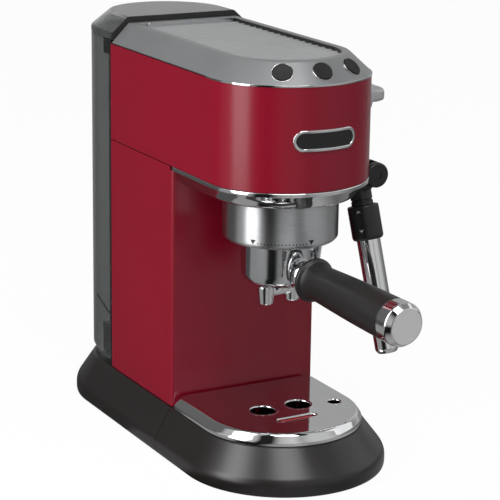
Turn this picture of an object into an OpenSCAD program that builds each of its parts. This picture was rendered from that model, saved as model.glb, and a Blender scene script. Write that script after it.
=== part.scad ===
// Pump espresso machine: a slim upright machine with a slide-out drip tray, a lift-out
// water tank, a bayonet portafilter and a side steam wand, built from separate pieces.
// Modelling axes: X = 0 is the symmetry plane, Y = 0 the front face of the column with the
// user at -Y, Z = 0 the worktop. place() then moves the middle of the footprint to the origin.

/* [Base and drip tray] */
// Width of the base over its lip
base_w = 149; // [140:1:160]
// Reach of the base in front of the column
base_front = 131.5; // [128:0.5:140]
// Reach of the base behind the front face of the column
base_back = 192.5; // [190:0.5:200]
// Height of the base, up to the foot of the column
base_h = 31; // [28:0.5:34]
// Height of the upright lip round the foot of the base
lip_h = 11; // [10.4:0.2:13]
// How far the skirt leans in at the sides
skirt_inset = 14.5; // [12:0.5:15.5]
// How far the skirt leans in at the front
skirt_front_inset = 17.5; // [16:0.5:18.5]
// Wall of the plastic base and tray
base_wall = 2.6; // [2:0.1:3]
// How far the joint between base and tray leans forward at the foot
seam_lean = 6; // [3:0.5:8]
// Gap of the joint between base and tray
seam_gap = 0.5; // [0.4:0.05:0.8]
// Height of the rubber feet under the frame plate
foot_h = 3; // [2.4:0.1:3.4]
// Radius of a rubber foot
foot_r = 9; // [7:0.5:10]
// Height of the chrome cover above the base
grille_h = 8.5; // [7:0.1:10]
// Sheet thickness of the chrome cover
grille_t = 1.4; // [1:0.1:1.8]
// Radius of the two drain holes
drain_r = 8.75; // [7.5:0.25:9.5]
// Spacing of the two drain holes
drain_pitch = 29; // [27:0.5:32]
// Length of the slot over the level float
slot_len = 30.5; // [29:0.5:34]
// Width of the slot over the level float
slot_w = 5.2; // [4.6:0.1:6]

/* [Column and head] */
// Width of the column
column_w = 117.2; // [112:0.2:118]
// Depth of the column, front face to back edge
column_d = 102; // [98:1:102]
// Height of the joint between column and head
head_z = 209.5; // [206:0.5:215]
// Height of the top edge of the painted head
shoulder_z = 281.3; // [279:0.1:285]
// Height of the top ridge
ridge_z = 296; // [294:0.5:299]
// Thickness of the painted sheet
sheet_t = 1.2; // [0.8:0.1:1.6]
// Reach of the head in front of the column
head_front = 111; // [109:0.5:113]
// Radius of the head's shoulders in plan
head_shoulder_r = 52; // [50:0.5:54]
// Radius of the head's front in plan
head_front_r = 62; // [61:0.5:66]
// Half width of the flat top
ridge_half_w = 44.6; // [42:0.2:47]
// Depth of the cup recess in the top
recess_h = 5; // [3:0.5:6]
// Height of the chrome band under the head
band_h = 3; // [2:0.5:4]
// Length of the front badge
badge_len = 48; // [40:1:54]
// Height of the front badge
badge_h = 14.5; // [12:0.5:17]
// Height of the middle of the badge above the worktop
badge_z = 245; // [238:1:252]

/* [Brew group and portafilter] */
// Distance of the brew axis in front of the column
brew_y = 51; // [49:0.5:53]
// Outer radius of the group ring
ring_r = 40.5; // [39.5:0.25:42]
// Height of the lower edge of the group ring
ring_z = 164.5; // [162:0.5:167]
// Bore radius of the group ring
ring_bore_r = 36; // [35.5:0.25:36.5]
// Outer radius of the portafilter's cup
cup_r = 27.2; // [27:0.1:28]
// Height of the underside of the cup
cup_z = 132.5; // [130:0.5:135]
// Radius of the cup's upper rim
rim_r = 30.6; // [30.2:0.1:31]
// Bore radius of the cup
cup_bore_r = 26.3; // [26:0.1:26.4]
// Wall of the filter basket
basket_t = 0.8; // [0.5:0.1:1]
// Angle that locks the portafilter, insert mark to close mark
lock_deg = 55; // [50:1:58]
// Direction of the closed handle, towards the steam side
handle_deg = 4; // [-4:1:10]
// How far the handle points below level
handle_droop = 2.7; // [0:0.1:6]
// Height of the handle's axis below the brew axis
handle_z = 145.4; // [143:0.2:148]
// Start of the handle grip, from the brew axis
grip_from = 40.5; // [39:0.5:43]
// Start of the metal cap, from the brew axis
grip_to = 134; // [125:1:140]
// Length of the metal cap
cap_len = 14; // [10:1:16]
// Radius of the grip's widest part
grip_r = 15; // [13.5:0.25:16]
// Distance of each spout from the brew axis
spout_x = 11; // [9:0.5:13]
// Length of a spout below the cross tube
spout_len = 10; // [8:0.5:12]

/* [Water tank] */
// Width of the tank
tank_w = 115; // [110:1:116]
// Gap between the back panel and the tank
tank_gap = 0.8; // [0.5:0.1:1.5]
// Depth of the tank, front wall to its round back
tank_d = 78.2; // [74:0.2:79]
// Wall of the tank and its lid
tank_wall = 2.2; // [1.6:0.1:3]
// Height of the tank's floor above the base
tank_foot_h = 3; // [2.5:0.1:3.5]
// Top edge of the tank
tank_top = 284; // [282:0.5:288]
// Height of the lid
lid_h = 15.6; // [14:0.2:18]
// Lift of the tank valve when it is open
valve_lift = 3; // [2:0.5:4]

/* [Buttons, knob and steam wand] */
// Radius of a push button
button_r = 6.7; // [6:0.1:7.2]
// Travel of a push button
button_travel = 1.5; // [1:0.1:1.8]
// Angle between neighbouring buttons
button_deg = 30; // [27:1:34]
// Radius of the steam knob
knob_r = 17; // [14:0.5:18]
// Thickness of the knob's disc
knob_t = 5; // [4:0.5:6]
// Height of the knob's axis
knob_z = 261.5; // [258:0.5:263]
// Radius of the wand's pivot knuckle
knuckle_r = 9; // [8:0.25:9.25]
// Radius of the chrome frother tube
frother_r = 8.5; // [8:0.1:8.8]
// Length of the wand below the selector's top
wand_len = 107; // [95:1:110]
// Radius of the selector sleeve
selector_r = 11.2; // [10.5:0.1:12]
// Length of the selector sleeve
selector_len = 24.5; // [20:0.5:27]
// Travel of the selector sleeve
selector_travel = 5; // [3:0.5:6]

/* [Fits] */
// Gap between pieces that lift or slide apart
loose = 0.4; // [0.3:0.05:0.5]
// Gap under a piece that rests on another
seat = 0.3; // [0.2:0.05:0.35]
// Radial clearance of a turning pin
pin_fit = 0.05; // [0.02:0.01:0.1]

/* [Hidden] */
$fn = 48;

// Thin slice that a lofted form starts and ends with
skin = 0.1;
// Larger than the machine, for cutting halves away
far = 400;

// Base
base_half = base_w / 2;
base_gap = 0.8;
base_edge = 1.5;
skirt_half = base_half - skirt_inset;
skirt_front = base_front - skirt_front_inset;
skirt_back = base_back - skirt_inset + 2;
frame_t = 3;
frame_top = foot_h + frame_t;
tongue_half = 50;
tongue_front = 100;
tongue_back = 30;
runner_h = 1.7;
tray_floor_z = frame_top + runner_h + seat;
tray_floor_t = 1.6;
foot_at = [[38, -70], [48, 140]];
foot_stem_r = 3;
screw_at = [[54, 42], [40, 160]];
screw_r = 1.6;
screw_head_r = 3.6;
screw_len = 18;
boss_r = 4.2;
hose_y = 70;
hose_hole_r = 7;
gland_at = [26, 20];
gland_r = 6;
gland_len = 24;
cord_r = 3.6;
switch_x = -24;
switch_z = 20;
switch_w = 20;
switch_h = 14;
switch_d = 16;
switch_face_y = base_back - 13;
rocker_deg = 14;
rocker_proud = 1.2;

// Cover over the tray
grille_half = skirt_half - 0.8;
grille_front = skirt_front - 0.8;
grille_back = -0.6;
grille_lean = 4.6;
grille_top = base_h + seat + grille_h;
drain_y = 56;
slot_y = 79.5;
float_w = 27.8;
float_d = 16;
float_h = 7;
finger_at = [40.7, -62.6];
finger_r = 4.8;

// Column
column_half = column_w / 2;
corner_r = 2.2;
panel_t = 2.6;
back_y = column_d + panel_t;
frame_half = column_half - sheet_t - seat;
frame_wall = 2.4;
frame_y = [8, column_d - 8];
shelf_z = 118;
shelf_t = 3;
deck_z = head_z - band_h;
window_z = [base_h + 14, shelf_z + 14];
window_h = [22, 58];

// Pump, flow meter and their mounts, inside the column
pump_at = [0, 50];
pump_r = 19;
pump_h = 46;
pump_plate = 42;
mount_h = 5;
meter_y = 50;
meter_z = 84;
meter_r = 14;
meter_w = 16;
hose_r = 3.2;
stub_r = 3.5;
meter_x = -frame_half + frame_wall + meter_w / 2;

// Head
band_z = head_z - band_h;
head_back = column_d - 2;
band_proud = 0.4;
underpan_h = 10.5;
underpan_r = 51;
underpan_t = 1.6;
underpan_z = band_z - underpan_h;
underpan_half = column_half - 1.4;
pillar_r = 4;
pillar_at = [[40, -74], [48, 22]];
board_z = 273.5;
board_t = 1.6;
trim_h = 0.7;
cover_z = shoulder_z + trim_h;
cover_t = 2;
ridge_front = head_front - (ridge_z - shoulder_z);
recess_half = ridge_half_w - 4.6;
recess_front = ridge_front - 6;
recess_z = ridge_z - recess_h;
plate_t = 1.6;
rib_pitch = 9;
badge_t = 1.4;
badge_rim_w = 2.1;

// Boiler block and steam tap, inside the head
block_half = 30;
block_y = [-86, 2];
block_z = head_z + 4;
block_h = 30;
throat_r = 14;
inlet_y = block_y[1] - 14;
valve_x = [30, 52];
pipe_x = 44;
pipe_r = 2;

// Brew group
brew = [0, -brew_y, 0];
lug_z = ring_z + 6.5;
lug_h = 4;
lug_deg = 42;
gap_deg = 54;
ledge_h = lug_z - loose - ring_z - 2;
rim_z = lug_z + lug_h + 10;
rim_h = 10;
basket_z = cup_z + 8.5;
basket_r = cup_bore_r - 0.2;
groove_z = ring_z + 3;
spring_wire_r = 0.42;
flange_t = 1.2;
gasket_h = 4.7;
gasket_z = rim_z + flange_t + seat;
gasket_r = basket_r - basket_t - loose;
screen_t = 1.7;
spout_r = 5.2;

// Tank
tank_half = tank_w / 2;
tank_y = back_y + tank_gap;
tank_back = tank_y + tank_d;
tank_z = base_h + tank_foot_h;
valve_y = tank_y + 24;
valve_r = 7;
socket_foot = base_h - base_wall - 8;
lid_z = tank_top + loose;
lid_y = column_d + 0.6;
lid_back = tank_back + 0.2;
lid_half = tank_half + 0.2;
lid_wall_h = 3.6;
pin_r = 1.6;
knuckle_w = 23.4;
ear_w = 8;
hinge_r = 3.4;
hinge_y = tank_back + 2.7;
hinge_z = lid_z + 1.6;

// Buttons lie on the sloping front of the cover, square to it
button_slope = 45;
button_ring = 53.2;
button_axis_y = 50.4;
button_z = 289.6;
button_proud = 1.2;
button_depth = 4.4;
button_lip = 3;
button_at = [-button_deg, 0, button_deg];

// Knob
knob_y = 50;
knob_x = column_half + seat;
spindle_r = 3;
grip_bar_t = 11;
grip_bar_h = 10;

// Wand: it hangs from the knuckle along wand_dir
knuckle = [68, -61.5, 205];
knuckle_d = 15;
wand_top = [64.8, -55, 180.9];
wand_dir = [0.08, -0.239, -0.968];
wand_pin_r = 3;
neck_r = 7.8;
arm_t = 5;
arm_h = 6.4;
arm_eye_r = 5.5;
arm_x = column_half - 10;
arm_y = knuckle[1] - arm_t / 2;
arm_z = knuckle[2] - arm_eye_r;

// The footprint's middle, seen from above, is the origin of the part
reach_front = brew_y + (grip_to + cap_len) * cos(handle_droop) * cos(handle_deg);
reach_side = wand_top[0] + wand_len * wand_dir[0] + frother_r;
origin_x = (reach_side - base_half) / 2;
origin_y = (base_back - reach_front) / 2;
module place() translate([-origin_x, -origin_y, 0]) children();

// ---- Plan outlines -------------------------------------------------------------------

// Long plan with both ends half round
module stadium(half, front, back) {
    translate([0, half - front]) circle(r = half);
    translate([0, back - half]) circle(r = half);
    translate([-half, half - front]) square([2 * half, back + front - 2 * half]);
}

// Front of the head: a broad arc between two tighter shoulders, then straight sides
module head_plan(inset, back) {
    half = column_half - inset;
    shoulder = head_shoulder_r - inset;
    front = head_front_r - inset;
    sx = half - shoulder;
    cy = front - head_front + inset;
    sy = cy - sqrt(pow(front - shoulder, 2) - sx * sx);
    lean = atan2(sx, cy - sy);
    translate([-half, sy]) square([2 * half, back - sy]);
    for (s = [-1, 1]) translate([s * sx, sy]) circle(r = shoulder);
    intersection() {
        translate([0, cy]) circle(r = front);
        polygon([[0, cy], for (s = [-1, 1]) [s * 2 * front * sin(lean), cy - 2 * front * cos(lean)]]);
    }
}

// Square front and round back
module tank_plan(half, front, back) {
    intersection() {
        translate([0, back - half]) circle(r = half);
        translate([-far, front]) square(2 * far);
    }
    translate([-half, front]) square([2 * half, back - half - front]);
}

// Column with a softened front edge
module column_plan(inset, back) {
    half = column_half - inset;
    r = max(corner_r - inset, 0.6);
    translate([-half, inset + r]) square([2 * half, back - inset - r]);
    for (s = [-1, 1]) translate([s * (half - r), inset + r]) circle(r = r);
    translate([r - half, inset]) square([2 * (half - r), r]);
}

// Slot or badge outline with round ends, along X
module pill(len, w) {
    for (s = [-1, 1]) translate([s * (len - w) / 2, 0]) circle(d = w);
    square([len - w, w], center = true);
}

// Points of an arc of radius r about c, from angle a to angle b
function arc(c, r, a, b, steps = 20) =
    [for (i = [0 : steps]) let (t = a + i * (b - a) / steps) c + r * [cos(t), sin(t)]];

// Loft outlines: the same plans as single loops of points
function stadium_loop(half, front, back) =
    concat(arc([0, back - half], half, 0, 180), arc([0, half - front], half, 180, 360));
function tank_loop(half, front, back) =
    concat(arc([0, back - half], half, 0, 180, 20), [[-half, front], [half, front]]);
function ridge_loop(inset, back) =
    let (half = ridge_half_w - inset)
        concat(arc([0, half - ridge_front + inset], half, 180, 360, 20), [[half, back], [-half, back]]);
function arch_loop(half, front, back, r) =
    concat(arc([0, half - front], half, 180, 360, 24), arc([half - r, back - r], r, 0, 90, 5),
           arc([r - half, back - r], r, 90, 180, 5));
function head_loop(inset, back) =
    let (half = column_half - inset, shoulder = head_shoulder_r - inset, front = head_front_r - inset,
         sx = half - shoulder, cy = front - head_front + inset,
         sy = cy - sqrt(pow(front - shoulder, 2) - sx * sx), lean = atan2(sx, cy - sy))
        concat(arc([-sx, sy], shoulder, 180, 270 - lean, 8),
               arc([0, cy], front, 270 - lean, 270 + lean, 12),
               arc([sx, sy], shoulder, 270 + lean, 360, 8), [[half, back], [-half, back]]);

// ---- Solids used more than once ------------------------------------------------------

module slice_to(z, h) translate([0, 0, z]) linear_extrude(h) children();
module slice(z) slice_to(z, skin) children();

// Straight rod of radius r between two points
module rod(a, b, r) {
    v = b - a;
    translate(a) rotate([0, acos(v[2] / norm(v)), atan2(v[1], v[0])]) cylinder(h = norm(v), r = r);
}

// Corners of a path cut twice, so that it bends smoothly
function cut(p) =
    concat([p[0]], [for (i = [0 : len(p) - 2], t = [0.3, 0.7]) (1 - t) * p[i] + t * p[i + 1]],
           [p[len(p) - 1]]);
function along(p, i) = let (v = p[min(i + 1, len(p) - 1)] - p[max(i - 1, 0)]) v / norm(v);
function side(t) = let (v = cross(t, [0.31, 0.77, 0.17])) v / norm(v);

// Bent tube of radius r along a path: a ring of points at each station, joined by quads
module pipe(points, r, sides = 10) {
    path = cut(cut(points));
    n = len(path);
    rings = [for (i = [0 : n - 1], k = [0 : sides - 1])
        let (t = along(path, i), u = side(t), v = cross(t, u), a = 360 * k / sides)
            path[i] + r * (cos(a) * u + sin(a) * v)];
    faces = concat(
        [[for (k = [0 : sides - 1]) k]],
        [for (i = [0 : n - 2], k = [0 : sides - 1]) let (m = (k + 1) % sides, b = i * sides)
            [b + m, b + k, b + sides + k, b + sides + m]],
        [[for (k = [0 : sides - 1]) n * sides - 1 - k]]);
    polyhedron(rings, faces, convexity = 6);
}

// Both sides of the symmetry plane
module pair(at, z = 0) for (s = [-1, 1]) translate([s * at[0], at[1], z]) children();

// Outline of the base over its lip and at the top of its skirt, inset by d
module lip_plan(d, back = base_back) polygon(stadium_loop(base_half - d, base_front - d, back));
module skirt_plan(d, back = skirt_back) polygon(stadium_loop(skirt_half - d, skirt_front - d, back));

// Base form, inset by d: a softened foot, an upright lip and a leaning skirt
module base_form(d, z0 = base_gap) {
    hull() {
        slice(z0) lip_plan(d + base_edge, base_back - d - base_edge);
        slice(z0 + base_edge) lip_plan(d, base_back - d);
        slice(lip_h) lip_plan(d, base_back - d);
        slice(base_h - skin) skirt_plan(d, skirt_back - d);
    }
}

// Side view of the space between two planes that lean with the joint of base and tray
module seam_slab(from, to) {
    dz = 20;
    slope = seam_lean / base_h;
    rotate([90, 0, 90]) translate([0, 0, -far / 2]) linear_extrude(far) polygon([
        [from - seam_lean - dz * slope, -dz], [to - seam_lean - dz * slope, -dz],
        [to + dz * slope, base_h + dz], [from + dz * slope, base_h + dz]]);
}
module seam_front(d) seam_slab(-far, d);
module seam_back(d) seam_slab(d, far);

// A child built upright on the brew axis, pointing out along the handle
module along_handle() {
    translate([0, 0, handle_z]) rotate([90 + handle_droop, 0, 0]) children();
}

// The closed portafilter stands on the brew axis, turned to the handle's direction
module on_brew_axis() translate(brew) rotate([0, 0, handle_deg]) children();

// A child built along +Z, standing square on the sloping front at angle a
module on_slope(a) {
    translate([button_ring * sin(a), -button_axis_y - button_ring * cos(a), button_z])
        rotate([0, 0, a]) rotate([button_slope, 0, 0]) children();
}

// A child built down from the selector's top along the wand
module along_wand(s = 0) {
    translate(wand_top + s * wand_dir)
        rotate([0, acos(wand_dir[2]), atan2(wand_dir[1], wand_dir[0])]) children();
}

// Ring or disc sector about the brew axis, centred on angle a
module sector(a, width, r, z, h) {
    translate([0, 0, z]) rotate([0, 0, a - width / 2])
        rotate_extrude(angle = width) square([r, h]);
}

module tube(r_out, r_in, z0, z1) {
    translate([0, 0, z0]) difference() {
        cylinder(h = z1 - z0, r = r_out);
        translate([0, 0, -1]) cylinder(h = z1 - z0 + 2, r = r_in);
    }
}

// ---- Base ----------------------------------------------------------------------------

module base_housing() {
    color("#2e2a29") difference() {
        union() {
            difference() {
                base_form(0);
                difference() {
                    translate([0, 0, -base_wall]) base_form(base_wall, base_gap - 1);
                    seam_front(base_wall);
                }
                seam_front(0);
            }
            pair(screw_at[0], frame_top) cylinder(h = base_h - frame_top - base_wall, r = boss_r);
            pair(screw_at[1], frame_top) cylinder(h = base_h - frame_top - base_wall, r = boss_r);
        }
        for (at = screw_at) pair(at, frame_top - 1) cylinder(h = screw_len, r = screw_r);
        translate([-tongue_half - loose, -tongue_back, -1])
            cube([2 * (tongue_half + loose), 2 * tongue_back, frame_top + runner_h + 1]);
        translate([0, valve_y, base_h - base_wall - 1]) cylinder(h = base_wall + 2, r = valve_r + 5);
        translate([0, hose_y, base_h - base_wall - 1]) cylinder(h = base_wall + 2, r = hose_hole_r);
        translate([gland_at[0], base_back - 30, gland_at[1]]) rotate([-90, 0, 0])
            cylinder(h = 40, r = gland_r);
        translate([switch_x - switch_w / 2, switch_face_y - switch_d, switch_z - switch_h / 2])
            cube([switch_w, far, switch_h]);
    }
}

module base_frame() {
    color("#26262a") difference() {
        union() {
            translate([0, 0, foot_h]) linear_extrude(frame_t) {
                stadium(tongue_half, tongue_front, tongue_half + tongue_back);
                intersection() {
                    stadium(base_half - base_wall - 1.5, far / 2, base_back - base_wall - 1.5);
                    translate([-far, base_wall + 1]) square([2 * far, far]);
                }
            }
            for (s = [-1, 1]) translate([s * 30 - 1.5, -92, frame_top - skin])
                cube([3, 82, runner_h + skin]);
        }
        for (at = foot_at) pair(at, foot_h - 1) cylinder(h = frame_t + 2, r = foot_stem_r);
        for (at = screw_at) pair(at, foot_h - 1) cylinder(h = frame_t + 2, r = screw_r + 0.2);
    }
}

module rubber_feet() {
    color("#1b1b1c") for (at = foot_at) pair(at) rotate_extrude()
        polygon([[0, 0], [foot_r - 1, 0], [foot_r, 1], [foot_r, foot_h], [foot_stem_r, foot_h],
                 [foot_stem_r, foot_h + frame_t - 0.5], [0, foot_h + frame_t - 0.5]]);
}

module base_screws() {
    color("#8d8f92") for (at = screw_at) pair(at) rotate_extrude()
        polygon([[0, foot_h - 1.9], [screw_head_r, foot_h - 1.9], [screw_head_r, foot_h], [screw_r, foot_h],
                 [screw_r, foot_h + screw_len - 4], [0, foot_h + screw_len - 4]]);
}

module cable_gland() {
    color("#1d1d1e") translate([gland_at[0], base_back - 28, gland_at[1]]) rotate([-90, 0, 0])
        difference() {
            union() {
                cylinder(h = gland_len, r = gland_r);
                cylinder(h = 4, r = gland_r + 2);
            }
            translate([0, 0, -1]) cylinder(h = gland_len + 2, r = cord_r);
        }
}

module switch_frame() {
    color("#1f1f20")
        translate([switch_x - switch_w / 2, switch_face_y - switch_d, switch_z - switch_h / 2]) difference() {
            cube([switch_w, switch_d, switch_h]);
            translate([2.5, 2, 2]) cube([switch_w - 5, switch_d, switch_h - 4]);
        }
}

// Rocker: a drum with a shallow V face, proud of its frame, turning about its cross axis
module switch_rocker() {
    w = switch_w - 5 - 2 * seat;
    r = (switch_h - 4) / 2 - seat;
    color("#17171a") translate([switch_x - w / 2, switch_face_y - r + rocker_proud, switch_z])
        rotate([90, 0, 90]) rotate([0, 0, rocker_deg / 2]) linear_extrude(w) difference() {
            circle(r = r);
            polygon([[2 * r, -r], [r * 0.9, -r * 0.8], [r * 0.62, 0], [r * 0.9, r * 0.8], [2 * r, r]]);
        }
}

module tank_socket() {
    color("#202022") translate([0, valve_y, 0]) difference() {
        union() {
            tube(valve_r + 5, valve_r + loose, base_h - base_wall - 5, base_h);
            tube(valve_r + 8, valve_r + loose, base_h, base_h + tank_foot_h - seat);
            translate([0, 0, socket_foot]) cylinder(h = 4, r = valve_r + 5);
        }
        cylinder(h = base_h, r = 2);
    }
}

// ---- Drip tray, float and cover ------------------------------------------------------

module drip_tray() {
    color("#2b2827") {
        difference() {
            base_form(0);
            difference() {
                hull() {
                    slice(tray_floor_z + tray_floor_t) lip_plan(base_wall);
                    slice(lip_h) lip_plan(base_wall);
                    slice(base_h + 1) skirt_plan(base_wall);
                }
                seam_back(-seam_gap - base_wall);
            }
            slice_to(-1, tray_floor_z + 1) lip_plan(base_wall + 1, far / 2);
            seam_back(-seam_gap);
        }
        for (s = [-1, 1]) translate([s * 16 - 1.5, -slot_y - 5, tray_floor_z + tray_floor_t - skin])
            cube([3, 10, 17]);
    }
}

// Hollow float, seen as a block, and the red flag that rises through the cover's slot
module level_float() {
    foot = tray_floor_z + tray_floor_t + seat;
    color("#b3202a") translate([0, -slot_y, 0]) {
        translate([-float_w / 2, -float_d / 2, foot]) cube([float_w, float_d, float_h]);
        slice_to(foot + float_h - skin, grille_top - grille_t - foot - float_h + skin)
            pill(slot_len - 4, slot_w - 1.6);
    }
}

// Cover outline, drawn in by d all round and by lean at the sides (less at front and back)
module grille_plan(d, lean, front_lean, back_lean)
    polygon(arch_loop(grille_half - lean - d, grille_front - front_lean - d, grille_back - back_lean - d, 6));
module grille_form(d, z0) {
    hull() {
        slice(z0) grille_plan(d, 0, 0, 0);
        slice(base_h + seat + 1.6) grille_plan(d, 0, 0, 0);
        slice(grille_top - skin - 2 - d) grille_plan(d, grille_lean * 0.7, grille_lean * 0.45, 0.8);
        slice(grille_top - skin - d) grille_plan(d, grille_lean, grille_lean * 0.7, 1.6);
    }
}

// Pressed cover with a rolled rim, two drain holes with drawn collars and the float's slot
module cup_grille() {
    color("#c9cbce") difference() {
        union() {
            difference() {
                grille_form(0, base_h + seat);
                grille_form(grille_t, base_h + seat - 2);
            }
            pair([drain_pitch / 2, -drain_y], grille_top - grille_t - 2)
                cylinder(h = grille_t + 1.2, r = drain_r + 1.2);
        }
        pair([drain_pitch / 2, -drain_y], grille_top - 8) cylinder(h = 10, r = drain_r);
        translate([0, -slot_y, grille_top - 8]) linear_extrude(10) pill(slot_len, slot_w);
        translate([finger_at[0], finger_at[1], grille_top - 8]) cylinder(h = 10, r = finger_r);
    }
}

// ---- Column --------------------------------------------------------------------------

module column_shell() {
    color("#86232f") translate([0, 0, base_h]) linear_extrude(band_z - base_h) difference() {
        column_plan(0, column_d);
        column_plan(sheet_t, column_d + 1);
    }
    color("#86232f") translate([0, 0, band_z]) linear_extrude(head_z - seat - band_z) intersection() {
        difference() {
            column_plan(0, column_d);
            column_plan(sheet_t, column_d + 1);
        }
        translate([-far, 4]) square(2 * far);
    }
}

module rear_panel() {
    color("#1f1f21") difference() {
        translate([seat - column_half, column_d, base_h])
            cube([2 * (column_half - seat), panel_t, tank_top - base_h]);
        translate([0, column_d - 1, shoulder_z - 40]) rotate([-90, 0, 0]) cylinder(h = panel_t + 2, r = 3);
    }
}

// Two side plates with lightening windows, joined by the base flange, pump shelf and deck
module column_frame() {
    color("#4a4b4f") difference() {
        union() {
            for (s = [-1, 1]) translate([s > 0 ? frame_half - frame_wall : -frame_half, frame_y[0], base_h])
                cube([frame_wall, column_d - frame_y[0], deck_z - base_h]);
            for (z = [base_h, shelf_z, deck_z - shelf_t]) translate([-frame_half, frame_y[0], z])
                cube([2 * frame_half, frame_y[1] - frame_y[0], shelf_t]);
        }
        for (i = [0, 1]) translate([-far / 2, frame_y[0] + 14, window_z[i]])
            cube([far, frame_y[1] - frame_y[0] - 28, window_h[i]]);
        translate([0, hose_y, base_h - 1]) cylinder(h = shelf_t + 2, r = hose_hole_r);
        translate([pump_at[0], pump_at[1], shelf_z - 1]) cylinder(h = shelf_t + 2, r = 9);
        translate([pump_at[0], pump_at[1], deck_z - shelf_t - 1]) cylinder(h = shelf_t + 2, r = 4);
    }
}

module power_board() {
    x = frame_half - frame_wall - 1.6;
    color("#2f6b3c") translate([x, 22, base_h + shelf_t]) cube([1.6, 62, 74]);
    color("#2a2a2c") {
        translate([x - 20, 30, base_h + shelf_t + 8]) cube([20, 24, 26]);
        translate([x - 12, 66, base_h + shelf_t + 20]) cube([12, 14, 30]);
        translate([x - 16, 44, base_h + shelf_t + 56]) rotate([0, 90, 0]) cylinder(h = 16, r = 8);
    }
}

// Solenoid pump: coil between two end plates, inlet below and outlet above
module pump() {
    z0 = shelf_z + shelf_t + mount_h;
    color("#c7b24a") translate([pump_at[0], pump_at[1], 0]) {
        translate([0, 0, z0]) cylinder(h = pump_h, r = pump_r);
        for (z = [z0, z0 + pump_h - 3]) translate([-pump_plate / 2, -pump_plate / 2, z])
            cube([pump_plate, pump_plate, 3]);
        translate([0, 0, shelf_z - 8]) cylinder(h = z0 - shelf_z + 8 + skin, r = 6);
        translate([0, 0, z0 + pump_h - skin]) cylinder(h = 12, r = 5);
    }
}

module pump_mounts() {
    color("#1a1a1b") translate([pump_at[0], pump_at[1], 0]) for (a = [45 : 90 : 315]) rotate([0, 0, a])
        translate([22, 0, 0]) tube(5, 2, shelf_z + shelf_t, shelf_z + shelf_t + mount_h);
}

// Round meter clipped to the left side plate, with a stub below and above
module flow_meter() {
    color("#d9d9d2") translate([meter_x, meter_y, meter_z]) {
        rotate([0, 90, 0]) cylinder(h = meter_w, r = meter_r, center = true);
        for (z = [-meter_r - 8, meter_r - 2]) translate([0, 0, z]) cylinder(h = 10, r = stub_r);
    }
}

// Tank socket to meter, then meter to pump
module suction_hose() {
    color("#d8d4c8") {
        pipe([[0, valve_y, socket_foot], [0, valve_y, 14], [0, hose_y, 14], [0, hose_y, 44],
              [meter_x, meter_y, 52], [meter_x, meter_y, meter_z - meter_r - 8]], hose_r);
        pipe([[meter_x, meter_y, meter_z + meter_r + 8], [meter_x, meter_y, 113],
              [meter_x + 14, meter_y, 113], [pump_at[0] - 14, pump_at[1], 101],
              [pump_at[0], pump_at[1], 101], [pump_at[0], pump_at[1], shelf_z - 8]], hose_r);
    }
}

module delivery_pipe() {
    z0 = shelf_z + shelf_t + mount_h + pump_h + 12;
    color("#e8e6df")
        pipe([[pump_at[0], pump_at[1], z0], [pump_at[0], pump_at[1], 232], [0, 30, 262],
              [0, inlet_y, 266], [0, inlet_y, block_z + block_h + 8]], 2.4);
}

// ---- Head ----------------------------------------------------------------------------

module head_shell() {
    color("#90202d") translate([0, 0, head_z]) difference() {
        linear_extrude(shoulder_z - head_z) difference() {
            head_plan(0, column_d);
            head_plan(sheet_t, column_d + 1);
        }
        translate([0, -knob_y, knob_z - head_z]) rotate([0, 90, 0]) cylinder(h = far, r = spindle_r + 1);
    }
}

// Bright band under the painted head, round its front
module head_band() {
    color("#d6d8da") slice_to(band_z, band_h) difference() {
        head_plan(-band_proud, -seat);
        head_plan(3, 0);
    }
}

// Bright pan that draws in from the band to the group ring
module head_underpan() {
    color("#c4c6c9") difference() {
        hull() {
            slice(underpan_z) polygon(underpan_loop(0));
            slice(band_z - skin) polygon(head_loop(column_half - underpan_half, -seat));
        }
        hull() {
            slice(underpan_z + underpan_t) polygon(underpan_loop(underpan_t));
            slice(band_z + skin)
                polygon(head_loop(column_half - underpan_half + underpan_t, -seat - underpan_t));
        }
        translate([0, -brew_y, underpan_z - 1]) cylinder(h = 4, r = ring_r);
        translate([arm_x, arm_y, arm_z]) cube([knuckle[0] - arm_x, arm_t, arm_h]);
    }
}
function underpan_loop(d) = concat(arc([0, -brew_y], underpan_r - d, 180, 360, 28),
    [[underpan_r - d, -seat - d], [d - underpan_r, -seat - d]]);

// Metal plate that carries the brew head and boiler, with pillars for the board and cover
module head_frame() {
    color("#6d6f73") difference() {
        union() {
            slice_to(band_z, band_h) head_plan(3, head_back);
            for (at = pillar_at) pair(at, head_z - skin)
                cylinder(h = board_z - head_z + skin, r = pillar_r);
        }
        translate([0, -brew_y, band_z - 1]) cylinder(h = band_h + 2, r = throat_r);
        translate([pump_at[0], pump_at[1], band_z - 1]) cylinder(h = band_h + 2, r = 6);
        translate([pipe_x, -knob_y, band_z - 1]) cylinder(h = band_h + 2, r = pipe_r + 1);
    }
}

// Cast aluminium boiler block with its two tube coils standing proud and a throat to the group
module thermoblock() {
    mid_y = (block_y[0] + block_y[1]) / 2;
    color("#a7a9ac") {
        translate([-block_half, block_y[0], block_z]) cube([2 * block_half, block_y[1] - block_y[0], block_h]);
        for (s = [-1, 1]) translate([s * 17, mid_y, block_z + block_h]) rotate([90, 0, 0])
            cylinder(h = 66, r = 6, center = true);
        translate([0, -brew_y, band_z]) cylinder(h = block_z - band_z + skin, r = throat_r);
        translate([0, inlet_y, block_z + block_h - skin]) cylinder(h = 8 + skin, r = 4);
        for (y = [block_y[0] + 8, block_y[1] - 8]) pair([block_half - 6, y], head_z)
            cylinder(h = block_z - head_z + skin, r = 3);
    }
}

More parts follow.
